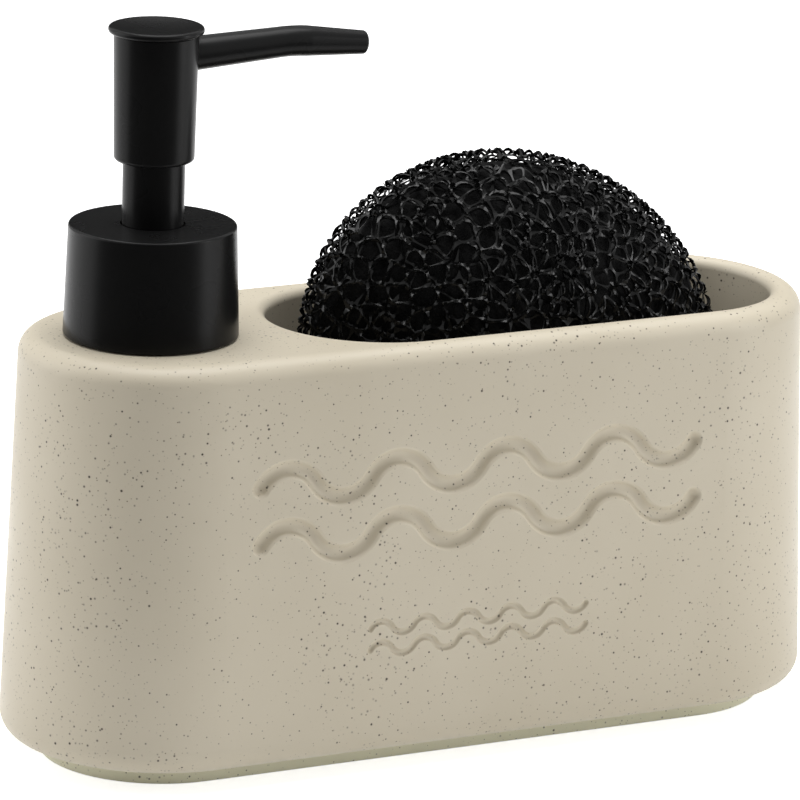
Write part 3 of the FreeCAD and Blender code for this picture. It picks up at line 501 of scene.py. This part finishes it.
def make_speckled_glaze():
    """Cream glaze of cloudy tone over a bare foot lightened with painted bounce light, with faint and dark
    specks.
    """
    finish = Finish("speckled_glaze")
    crowding = finish.effect(CLOUD, "Value", Scale=55.0, Low=0.55, High=1.12)
    cloud = finish.effect(CLOUD, "Value", Scale=22.0, Low=0.0, High=1.0)
    glaze = finish.mix(cloud, GLAZE_LIGHT, GLAZE_DARK)
    foot = foot_mask(finish)
    # The foot takes the bare clay colour, lightened with painted bounce light.
    glaze = finish.mix(foot, glaze, BARE_CLAY_AND_PAINTED_BOUNCE)
    faint = finish.effect(SPECKS, "Mask", Scale=900.0, Radius=0.21, Crowding=crowding)
    glaze = finish.mix(faint, glaze, IRON_FAINT)
    dark = finish.effect(SPECKS, "Mask", Scale=620.0, Radius=0.235, Crowding=crowding)
    glaze = finish.mix(dark, glaze, IRON_DARK)
    finish.colour(glaze)
    finish.roughness(scale=35.0, low=0.40, high=0.52)
    finish.set(Specular_IOR_Level=0.42)
    waves = finish.effect(CLOUD, "Value", Scale=130.0, Low=0.0, High=1.0)
    finish.bump(waves, depth=0.25 * MM, strength=0.10)
    grain = finish.effect(GRAIN, "Height", Scale=1400.0)
    finish.bump(grain, depth=0.05 * MM, strength=0.12)
    finish.bump(dark, depth=0.05 * MM, strength=0.35)
    return finish


paint("ceramic_body", make_speckled_glaze())

# %% [markdown]
# ## Pump plastics
# The pieces that show are black moulded plastic with a satin skin: almost no colour of their
# own, wide soft highlights, and a very fine grain. The pieces inside are natural plastic, which
# is milky white. The grain could be modelled, but at a few hundredths of a millimetre a bump
# does the same.

# %% Black satin plastic
BLACK_SKIN = (0.0072, 0.0072, 0.0073)
BLACK_WORN = (0.0080, 0.0080, 0.0080)


def make_black_plastic():
    """Black with hardly any colour, a satin shine and a very fine grain."""
    finish = Finish("black_plastic")
    finish.clouded(scale=90.0, first=BLACK_SKIN, second=BLACK_WORN)
    finish.roughness(scale=70.0, low=0.265, high=0.285)
    finish.set(Specular_IOR_Level=0.10)
    finish.bump(finish.effect(GRAIN, "Height", Scale=5200.0), depth=0.02 * MM, strength=0.10)
    return finish


black_plastic = make_black_plastic()
for shown in ("collar_shell", "guide_tube", "head_barrel", "button_cap", "spout"):
    paint(shown, black_plastic)

# %% Milky plastics inside the pump
def make_milky_plastic(name, light, dark, grain_scale):
    """Milky moulded plastic, clouded between two tones."""
    finish = Finish(name)
    finish.clouded(scale=140.0, first=light, second=dark)
    finish.roughness(scale=110.0, low=0.28, high=0.42)
    finish.bump(finish.effect(GRAIN, "Height", Scale=grain_scale), depth=0.02 * MM, strength=0.10)
    return finish


natural_plastic = make_milky_plastic(
    "natural_plastic", light=(0.80, 0.80, 0.78), dark=(0.71, 0.71, 0.68), grain_scale=3600.0)
INNER_PIECES = (
    "closure", "neck_insert", "pump_housing", "ball_retainer", "piston_rod", "piston_seat", "actuator_core",
)
for inner in INNER_PIECES:
    paint(inner, natural_plastic)
paint("piston", make_milky_plastic(
    "soft_plastic", light=(0.86, 0.86, 0.84), dark=(0.80, 0.80, 0.77), grain_scale=2400.0))
paint("dip_tube", make_milky_plastic(
    "clear_tube", light=(0.82, 0.84, 0.84), dark=(0.74, 0.77, 0.78), grain_scale=1800.0))

# %% [markdown]
# ## Seals and ball
# The two flat seals are grey rubber, dull and a little dusty. Dust could be a layer of its own,
# but a cloudy tone and a high roughness give the same look. The valve ball is plain glass, so
# the shader lets light through and is nearly smooth.

# %% Rubber and glass
def make_seal_rubber():
    """Dull grey rubber."""
    finish = Finish("seal_rubber")
    finish.clouded(scale=260.0, first=(0.58, 0.58, 0.56), second=(0.48, 0.48, 0.47))
    finish.roughness(scale=300.0, low=0.70, high=0.86)
    finish.bump(finish.effect(GRAIN, "Height", Scale=2600.0), depth=0.03 * MM, strength=0.2)
    return finish


def make_ball_glass():
    """Clear glass with a faint green tone."""
    finish = Finish("ball_glass")
    finish.clouded(scale=200.0, first=(0.80, 0.90, 0.88), second=(0.86, 0.93, 0.92))
    finish.roughness(scale=400.0, low=0.02, high=0.06)
    finish.set(Transmission_Weight=1.0)
    return finish


seal_rubber = make_seal_rubber()
for seal in ("neck_seal", "housing_gasket"):
    paint(seal, seal_rubber)
paint("check_ball", make_ball_glass())

# %% [markdown]
# ## Return spring
# The spring sits between the valve plate and the piston's seat and shortens when the head is
# pressed. Here it is drawn anew as a helix in place of the CAD node. It is drawn wire, bright
# metal with a fine grain.

# %% Return spring
pump_axis = (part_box("return_spring")[0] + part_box("return_spring")[1]) / 2
SPRING_TURNS = 8
WIRE_RADIUS = 0.5 * MM
WIRE_SIDES = 14
STEPS_PER_TURN = 40


def spring_wire():
    """A circle of wire radius carried along a helix.

    The path is (R cos a, R sin a, rise * a); the circle lies in the plane of the outward way
    and of the way square to both that and the path. Two end discs close the tube.
    """
    low, high = (np.array(corner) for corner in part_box("return_spring"))
    radius = (high[0] - low[0]) / 2 - WIRE_RADIUS
    angle = np.linspace(0, 2 * np.pi * SPRING_TURNS, SPRING_TURNS * STEPS_PER_TURN + 1)
    height = np.linspace(low[2] + WIRE_RADIUS, high[2] - WIRE_RADIUS, len(angle))
    outward = np.stack([np.cos(angle), np.sin(angle), np.zeros_like(angle)], -1)
    path = outward * radius + np.stack([
        np.full_like(angle, pump_axis.x), np.full_like(angle, pump_axis.y), height], -1)
    along = np.gradient(path, axis=0)
    along /= np.linalg.norm(along, axis=1, keepdims=True)
    across = np.cross(along, outward)
    around = np.linspace(0, 2 * np.pi, WIRE_SIDES, endpoint=False)
    cos, sin = np.cos(around)[None, :, None], np.sin(around)[None, :, None]
    ring = cos * outward[:, None] + sin * across[:, None]
    points = (path[:, None] + WIRE_RADIUS * ring).reshape(-1, 3)
    sides = grid_quads(len(angle), WIRE_SIDES, True)[:, ::-1]
    first_end = np.arange(WIRE_SIDES)
    last_end = np.arange(len(points) - WIRE_SIDES, len(points))[::-1]
    loops = np.concatenate([sides.ravel(), first_end, last_end])
    sizes = [4] * len(sides) + [WIRE_SIDES, WIRE_SIDES]
    return mesh_object("spring_wire", points, loops, sizes)


def make_spring_steel():
    """Bright drawn metal."""
    finish = Finish("spring_steel")
    finish.clouded(scale=700.0, first=(0.62, 0.62, 0.61), second=(0.50, 0.50, 0.49))
    finish.roughness(scale=900.0, low=0.18, high=0.32)
    finish.set(Metallic=1.0)
    finish.bump(finish.effect(GRAIN, "Height", Scale=5000.0), depth=0.01 * MM, strength=0.2)
    return finish


spring = spring_wire()
spring.data.materials.append(make_spring_steel().material)
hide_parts("return_spring")
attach(spring, "pump_unit")
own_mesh(spring)

# %% [markdown]
# ## Foam pad
# The pad is a thick lens of black open-cell foam. Such foam starts as bubbles pressed together;
# the thin walls between them are burst, and what stays is a net of struts along the edges where
# three bubbles met, thicker at the knots where four met. A wireframe modifier on a random mesh
# would give sticks. Here the net is worked out as nature makes it: scattered bubble centres, the
# points that lie equally far from four of them (the knots), and a smooth skin round the struts.
# Light hardly comes back from deeper cells, so three layers of bubbles are worked out, the struts
# near the face are kept, and a dark core stands for the rest.

# %% The pad's lens
PAD_TILT = math.radians(28)
NEAR_ZERO = 1e-9
pad_low, pad_high = (np.array(corner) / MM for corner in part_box("scouring_pad"))
pad_middle = (pad_low + pad_high) / 2


def lens_half_sizes():
    """Half length, half thickness and half height of the lens before it leans.

    A leaning ellipse reaches x with x^2 = (a cos t)^2 + (c sin t)^2 and z with
    z^2 = (a sin t)^2 + (c cos t)^2; both are solved for a and c.
    """
    reach_x, half_thickness, reach_z = (pad_high - pad_low) / 2
    cos2, sin2 = math.cos(PAD_TILT) ** 2, math.sin(PAD_TILT) ** 2
    length2 = (reach_x ** 2 * cos2 - reach_z ** 2 * sin2) / (cos2 - sin2)
    height2 = (reach_z ** 2 * cos2 - reach_x ** 2 * sin2) / (cos2 - sin2)
    return np.array([math.sqrt(length2), half_thickness, math.sqrt(height2)])


LENS = lens_half_sizes()


def depth_below(points):
    """How deep points lie under the lens's face, in mm, by a first-order estimate.

    With s = |p / LENS|, the depth at p is s (1 - s) / |p / LENS^2|.
    """
    share = np.linalg.norm(points / LENS, axis=-1)
    slope = np.linalg.norm(points / LENS ** 2, axis=-1)
    return share * (1 - share) / np.maximum(slope, NEAR_ZERO)


def to_frame(points):
    """From the lens's own millimetres to the part's frame in metres: lean about Y, then shift."""
    x, y, z = points.T
    lean_x = x * math.cos(PAD_TILT) + z * math.sin(PAD_TILT)
    lean_z = z * math.cos(PAD_TILT) - x * math.sin(PAD_TILT)
    return (np.stack([lean_x, y, lean_z], -1) + pad_middle) * MM


print("lens half sizes in mm:", LENS.round(2))

# %% Bubble centres
BUBBLE_SPACING = 4.0
LAYER_DEPTHS = (1.6, 4.9, 8.4)
TRIES = 40000
EVENING_ROUNDS = 3
SEED = 11
scatter = np.random.default_rng(SEED)


def points_on_lens(half):
    """Random points spread evenly over an ellipsoid: even points on a ball, stretched onto it.

    The stretch of the area at the ball's point (x, y, z) is abc |(x/a, y/b, z/c)|, and a point is
    kept with a chance in step with it. The mean stretch also gives the ellipsoid's area.
    """
    ball = scatter.normal(size=(TRIES, 3))
    ball /= np.linalg.norm(ball, axis=1, keepdims=True)
    stretch = half.prod() * np.linalg.norm(ball / half, axis=1)
    kept = scatter.uniform(0, stretch.max(), TRIES) < stretch
    return half * ball[kept], 4 * np.pi * stretch.mean()


def bubble_layer(depth):
    """Bubble centres at one depth below the face. They start at random and move a few times to
    the middle of the points that are nearest to them, which spreads them but not quite evenly."""
    half = LENS - depth
    face, area = points_on_lens(half)
    count = int(area / BUBBLE_SPACING ** 2)
    layer = face[:count]
    for _ in range(EVENING_ROUNDS):
        owner = np.argmin((layer ** 2).sum(1) - 2 * face @ layer.T, 1)
        total = np.stack([np.bincount(owner, face[:, k], count) for k in range(3)], -1)
        layer = total / np.linalg.norm(total / half, axis=1, keepdims=True)
    return layer


layers = [bubble_layer(depth) for depth in LAYER_DEPTHS]
centres = np.concatenate(layers)
OUTER_COUNT = len(layers[0])
OUTSIDE = len(centres)
print("bubbles in each layer:", [len(layer) for layer in layers])

# %% Knots where four bubbles meet
NEIGHBOURS = 20
CHUNK = 200
KNOT_DEPTH = 0.9
SLACK = 1e-6


def nearest_bubbles():
    """Indices of the nearest other bubbles of each bubble."""
    square = (centres ** 2).sum(1)
    apart = square[:, None] + square[None] - 2 * centres @ centres.T
    np.fill_diagonal(apart, np.inf)
    return np.argsort(apart, 1)[:, :NEIGHBOURS]


def meeting_points(own, near, triples):
    """Points equally far from a bubble and three of its neighbours, with no bubble closer.

    With u the ways to the neighbours, such a point x has u . x = |u|^2 / 2 for all three, which
    Cramer's rule solves; it is kept if u . x <= |u|^2 / 2 for every neighbour.
    """
    ways = centres[near] - centres[own][:, None]
    half = (ways ** 2).sum(-1) / 2
    a, b, c = (ways[:, triples[:, k]] for k in range(3))
    half_a, half_b, half_c = (half[:, triples[:, k], None] for k in range(3))
    across = np.cross(b, c)
    volume = (a * across).sum(-1, keepdims=True)
    volume[np.abs(volume) < SLACK] = np.inf
    point = (half_a * across + half_b * np.cross(c, a) + half_c * np.cross(a, b)) / volume
    free = (point @ ways.transpose(0, 2, 1) <= half[:, None] + SLACK).all(-1)
    free &= np.isfinite(volume[..., 0])
    which, triple = np.nonzero(free)
    groups = np.concatenate([own[which][:, None], near[which[:, None], triples[triple]]], 1)
    return np.sort(groups, 1), centres[own][which] + point[which, triple]


def foam_knots():
    """All knots below the face: the four bubbles of each, in order, and its place."""
    near = nearest_bubbles()
    triples = np.array(list(itertools.combinations(range(NEIGHBOURS), 3)))
    chunks = np.array_split(np.arange(len(centres)), len(centres) // CHUNK)
    found = [meeting_points(own, near[own], triples) for own in chunks]
    groups = np.concatenate([group for group, place in found])
    places = np.concatenate([place for group, place in found])
    groups, first, times = np.unique(groups, axis=0, return_index=True, return_counts=True)
    kept = (times > 1) & (depth_below(places[first]) > KNOT_DEPTH)
    return groups[kept], places[first][kept]


knot_bubbles, knots = foam_knots()
print("knots inside:", len(knots))

# %% Knots at the face
FACE_ROUNDS = 6
FLATNESS = 0.55
TRIOS = np.array([[k for k in range(4) if k != left_out] for left_out in range(4)])


def outward_way(points):
    """Unit ways out of the lens at points near its face."""
    way = points / LENS ** 2
    return way / np.linalg.norm(way, axis=1, keepdims=True)


def face_knots():
    """Knots where three bubbles of the outer layer meet the outside, which counts as one bubble.

    Such a trio has one knot inside. The line of points equally far from the three runs from
    there to the face, and a few steps along it find the point at the wanted depth.
    """
    trios, first, times = np.unique(
        knot_bubbles[:, TRIOS].reshape(-1, 3), axis=0, return_index=True, return_counts=True)
    open_ended = (times == 1) & (trios < OUTER_COUNT).all(1)
    trios = trios[open_ended]
    place = knots[first[open_ended] // 4]
    a, b, c = (centres[trios[:, k]] for k in range(3))
    way = np.cross(b - a, c - a)
    for _ in range(FACE_ROUNDS):
        rise = (way * outward_way(place)).sum(1, keepdims=True)
        place = place + way * (depth_below(place) - KNOT_DEPTH)[:, None] / rise
    outside = np.full((len(trios), 1), OUTSIDE)
    return np.concatenate([trios, outside], 1), place


def flattened(points):
    """Points drawn towards the face, because the cells there are flatter than they are wide."""
    deeper = np.maximum(depth_below(points) - KNOT_DEPTH, 0)
    return points + outward_way(points) * (1 - FLATNESS) * deeper[:, None]


face_bubbles, face_places = face_knots()
knot_bubbles = np.concatenate([knot_bubbles, face_bubbles])
knots = np.concatenate([flattened(knots), face_places])
centres = flattened(centres)
print("knots at the face:", len(face_places))

# %% [markdown]
# Two bubbles share a flat wall, and a burst wall leaves a round window with a rim. So each wall
# gets a circle round its middle. A knot has six walls and so six points, one on each circle; a
# strut has three walls and so three more points half way along it. Faces between these points
# look into the bubbles: a triangle at each knot, and quads along each strut. A strut that was
# cut off gets a cap. The skin closes by itself, its windows are round, and the knots between
# them are the small three-sided plates that glint on the real foam.

# %% Walls and struts of the foam
PAIRS = np.array(list(itertools.combinations(range(4), 2)))
TRIO_SIDES = np.array([[0, 1], [0, 2], [1, 2]])
ARC_DEPTH = 0.1


def pairs_of_trios():
    """For each trio of a knot's bubbles, which three of the knot's six pairs belong to it."""
    number = {tuple(pair): k for k, pair in enumerate(PAIRS)}
    return np.array([[number[tuple(trio[side])] for side in TRIO_SIDES] for trio in TRIOS])


TRIO_PAIRS = pairs_of_trios()


def walls_of_knots():
    """The number of each knot's six walls, and the middle of every wall: the mean of its knots."""
    _, wall = np.unique(knot_bubbles[:, PAIRS].reshape(-1, 2), axis=0, return_inverse=True)
    wall = wall.reshape(-1)
    place = np.repeat(knots, 6, 0)
    middle = np.stack([np.bincount(wall, place[:, k]) for k in range(3)], -1)
    return wall.reshape(-1, 6), middle / np.bincount(wall)[:, None]


def strut_ends():
    """Both ends of every strut. A strut lies between three bubbles, so the knots at its ends
    share those three. An end is 4 * knot + the place of the bubble that isn't one of them."""
    _, strut = np.unique(knot_bubbles[:, TRIOS].reshape(-1, 3), axis=0, return_inverse=True)
    strut = strut.reshape(-1)
    order = np.argsort(strut, kind="stable")
    paired = np.nonzero(strut[order][1:] == strut[order][:-1])[0]
    return order[paired], order[paired + 1]


def middles_of_struts():
    """The middle of each strut. A strut at the face bows outwards between its knots."""
    middle = (knots[end_a // 4] + knots[end_b // 4]) / 2
    bow = np.where(at_face, depth_below(middle) - ARC_DEPTH, 0)
    return middle + outward_way(middle) * bow[:, None]


knot_walls, wall_middles = walls_of_knots()
end_a, end_b = strut_ends()
at_face = knot_bubbles[end_a // 4, TRIOS[end_a % 4, 2]] == OUTSIDE
strut_middles = middles_of_struts()
strut_walls = knot_walls[(end_a // 4)[:, None], TRIO_PAIRS[end_a % 4]]
print("walls:", len(wall_middles), "struts:", len(end_a))

# %% Round windows
STRUT_MIN = 0.16
STRUT_MAX = 0.25
RIBBON_MIN = np.array([0.45, 0.10, 0.10])
RIBBON_MAX = np.array([0.80, 0.16, 0.16])
KNOT_MIN = 0.28
KNOT_MAX = 0.64
LEAST_SHARE = 0.25
UNEVENNESS = 0.02


def window_points():
    """Points on the windows' rims: six for each knot, then three for each strut.

    A window's radius is the least distance from its wall's middle to the middle of a strut, less
    a strut's thickness. A rim point lies that far from the middle, towards its knot or strut,
    and at least MIN and at most MAX away from it, but not closer to the middle than LEAST_SHARE
    of the way. A strut at the face is a ribbon on edge: its first wall runs inwards, where it
    reaches deep, and it is narrow along the other two. Last, every point moves a little at random.
    """
    to_strut = strut_middles[:, None] - wall_middles[strut_walls]
    strut_far = np.linalg.norm(to_strut, axis=-1)
    least = np.where(at_face[:, None], RIBBON_MIN, STRUT_MIN)
    most = np.where(at_face[:, None], RIBBON_MAX, STRUT_MAX)
    radius = np.full(len(wall_middles), np.inf)
    np.minimum.at(radius, strut_walls.ravel(), (strut_far - least).ravel())
    to_knot = knots[:, None] - wall_middles[knot_walls]
    knot_far = np.linalg.norm(to_knot, axis=-1)
    strut_step = np.clip(radius[strut_walls], strut_far - most, strut_far - least)
    knot_step = np.clip(radius[knot_walls], knot_far - KNOT_MAX, knot_far - KNOT_MIN)
    strut_share = np.maximum(strut_step, LEAST_SHARE * strut_far) / np.maximum(strut_far, NEAR_ZERO)
    knot_share = np.maximum(knot_step, LEAST_SHARE * knot_far) / np.maximum(knot_far, NEAR_ZERO)
    at_knots = wall_middles[knot_walls] + to_knot * knot_share[..., None]
    at_struts = wall_middles[strut_walls] + to_strut * strut_share[..., None]
    points = np.concatenate([at_knots.reshape(-1, 3), at_struts.reshape(-1, 3)])
    return points + scatter.normal(0, UNEVENNESS, points.shape)


window_rims = window_points()
print("points on window rims:", len(window_rims))

# %% Points along the struts
def with_quarters(points):
    """The rim points, then those a quarter and three quarters of the way along each strut.

    They lie on the parabola through a strut's ends A and B and its middle M, which at a quarter
    is 3/8 A + 3/4 M - 1/8 B.
    """
    at_a, at_b = (points[6 * (end // 4)[:, None] + TRIO_PAIRS[end % 4]] for end in (end_a, end_b))
    middle = points[6 * len(knots):].reshape(-1, 3, 3)
    quarter = 0.375 * at_a + 0.75 * middle - 0.125 * at_b
    three_quarters = 0.375 * at_b + 0.75 * middle - 0.125 * at_a
    return np.concatenate([points, quarter.reshape(-1, 3), three_quarters.reshape(-1, 3)])


rims = with_quarters(window_rims)
print("with points along struts:", len(rims))

# %% Which parts are kept, and which way faces look
SKIN_DEPTH = 4.0


def kept_parts():
    """Which knots and struts lie in the outer shell that can be seen."""
    knot_kept = depth_below(knots) < SKIN_DEPTH
    return knot_kept, knot_kept[end_a // 4] & knot_kept[end_b // 4]


def facing(faces, bubbles):
    """The faces, each turned round where it doesn't look towards its bubble's centre. Faces of
    the outside look away from the lens's middle."""
    corners = rims[faces]
    normal = np.cross(corners[:, 1] - corners[:, 0], corners[:, 2] - corners[:, 0])
    middle = corners.mean(1)
    inside = centres[np.minimum(bubbles, OUTSIDE - 1)] - middle
    towards = np.where((bubbles == OUTSIDE)[:, None], middle, inside)
    wrong = (normal * towards).sum(-1) < 0
    return np.where(wrong[:, None], faces[:, ::-1], faces)


# %% Faces at knots and ends
def knot_triangles(knot_kept):
    """A triangle per kept knot and bubble, between the bubble's three walls there."""
    kept = np.nonzero(knot_kept)[0]
    faces = []
    for bubble in range(4):
        own_pairs = np.nonzero((PAIRS == bubble).any(1))[0]
        faces.append(facing(6 * kept[:, None] + own_pairs, knot_bubbles[kept, bubble]))
    return np.concatenate(faces)


def end_caps(knot_kept, strut_kept):
    """A triangle where a kept knot has lost a strut; it looks away from the fourth bubble."""
    missing = np.repeat(knot_kept, 4)
    missing[end_a[strut_kept]] = False
    missing[end_b[strut_kept]] = False
    knot, left_out = np.nonzero(missing.reshape(-1, 4))
    caps = 6 * knot[:, None] + TRIO_PAIRS[left_out]
    return facing(caps, knot_bubbles[knot, left_out])[:, ::-1]


# %% Faces along struts, and the whole skin
RIM_CREASE = math.radians(40)


def strut_quads(strut_kept):
    """Four quads per kept strut and bubble: end to quarter and quarter to middle, from both ends."""
    number = np.nonzero(strut_kept)[0][:, None]
    middle = 6 * len(knots) + 3 * number + np.arange(3)
    faces = []
    for side, end in enumerate((end_a[strut_kept], end_b[strut_kept])):
        at_end = 6 * (end // 4)[:, None] + TRIO_PAIRS[end % 4]
        quarter = middle + 3 * len(end_a) * (side + 1)
        for near, far in ((at_end, quarter), (quarter, middle)):
            for bubble in range(3):
                first, second = np.nonzero((TRIO_SIDES == bubble).any(1))[0]
                quad = np.stack([near[:, first], near[:, second], far[:, second], far[:, first]], -1)
                faces.append(facing(quad, knot_bubbles[end // 4, TRIOS[end % 4, bubble]]))
    return np.concatenate(faces)


def foam_skin():
    """The net of struts as one closed skin."""
    knot_kept, strut_kept = kept_parts()
    triangles = np.concatenate([knot_triangles(knot_kept), end_caps(knot_kept, strut_kept)])
    quads = strut_quads(strut_kept)
    used, loops = np.unique(np.concatenate([triangles.ravel(), quads.ravel()]), return_inverse=True)
    sizes = np.concatenate([np.full(len(triangles), 3), np.full(len(quads), 4)])
    return mesh_object("foam_net", to_frame(rims[used]), loops.reshape(-1), sizes)


foam = foam_skin()
foam.data.set_sharp_from_angle(angle=RIM_CREASE)

# %% Foam core
CORE_ROWS = 60
CORE_COLUMNS = 120
CORE_DEPTH = 3.1


def foam_core():
    """A smaller lens: latitude and longitude on an ellipsoid, with one point at each pole.

    The point at latitude p and longitude q is (a cos p cos q, b cos p sin q, c sin p).
    """
    half = LENS - CORE_DEPTH
    rise = np.linspace(-np.pi / 2, np.pi / 2, CORE_ROWS + 2)[1:-1, None]
    turn = np.linspace(0, 2 * np.pi, CORE_COLUMNS, endpoint=False)[None, :]
    ring = np.stack(np.broadcast_arrays(
        half[0] * np.cos(rise) * np.cos(turn), half[1] * np.cos(rise) * np.sin(turn),
        half[2] * np.sin(rise)), -1).reshape(-1, 3)
    points = np.concatenate([ring, [[0, 0, -half[2]], [0, 0, half[2]]]])
    quads = grid_quads(CORE_ROWS, CORE_COLUMNS, True)
    here = np.arange(CORE_COLUMNS)
    beside = (here + 1) % CORE_COLUMNS
    last_row = (CORE_ROWS - 1) * CORE_COLUMNS
    south = np.stack([np.full_like(here, len(ring)), beside, here], -1)
    north = np.stack([np.full_like(here, len(ring) + 1), last_row + here, last_row + beside], -1)
    loops = np.concatenate([quads.ravel(), south.ravel(), north.ravel()])
    sizes = [4] * len(quads) + [3] * (2 * CORE_COLUMNS)
    return mesh_object("foam_core", to_frame(points), loops, sizes)


core = foam_core()

# %% [markdown]
# The struts are glossy black plastic, so they show as thin bright glints where they face a
# light panel and as black elsewhere. The core is dull and nearly as black, like cells too deep
# for light to come back out. One finish could serve both, but then the core would glint too.

# %% Foam finish
def make_foam_black():
    """Glossy black for the struts."""
    finish = Finish("pad_foam")
    finish.clouded(scale=240.0, first=(0.0030, 0.0030, 0.0032), second=(0.0060, 0.0060, 0.0058))
    finish.roughness(scale=320.0, low=0.15, high=0.27)
    finish.set(Specular_IOR_Level=0.18)
    finish.bump(finish.effect(GRAIN, "Height", Scale=2200.0), depth=0.04 * MM, strength=0.15)
    return finish


def make_foam_shade():
    """Dull black for the core, with a coarse bump."""
    finish = Finish("pad_foam_deep")
    finish.clouded(scale=420.0, first=(0.0070, 0.0070, 0.0072), second=(0.0140, 0.0140, 0.0140))
    finish.roughness(scale=500.0, low=0.85, high=1.0)
    finish.set(Specular_IOR_Level=0.02)
    finish.bump(finish.effect(GRAIN, "Height", Scale=600.0), depth=0.8 * MM, strength=0.6)
    return finish


foam.data.materials.append(make_foam_black().material)
core.data.materials.append(make_foam_shade().material)
for piece in (foam, core):
    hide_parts("scouring_pad")
    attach(piece, "pad")
    print(piece.name, "stands for the pad")
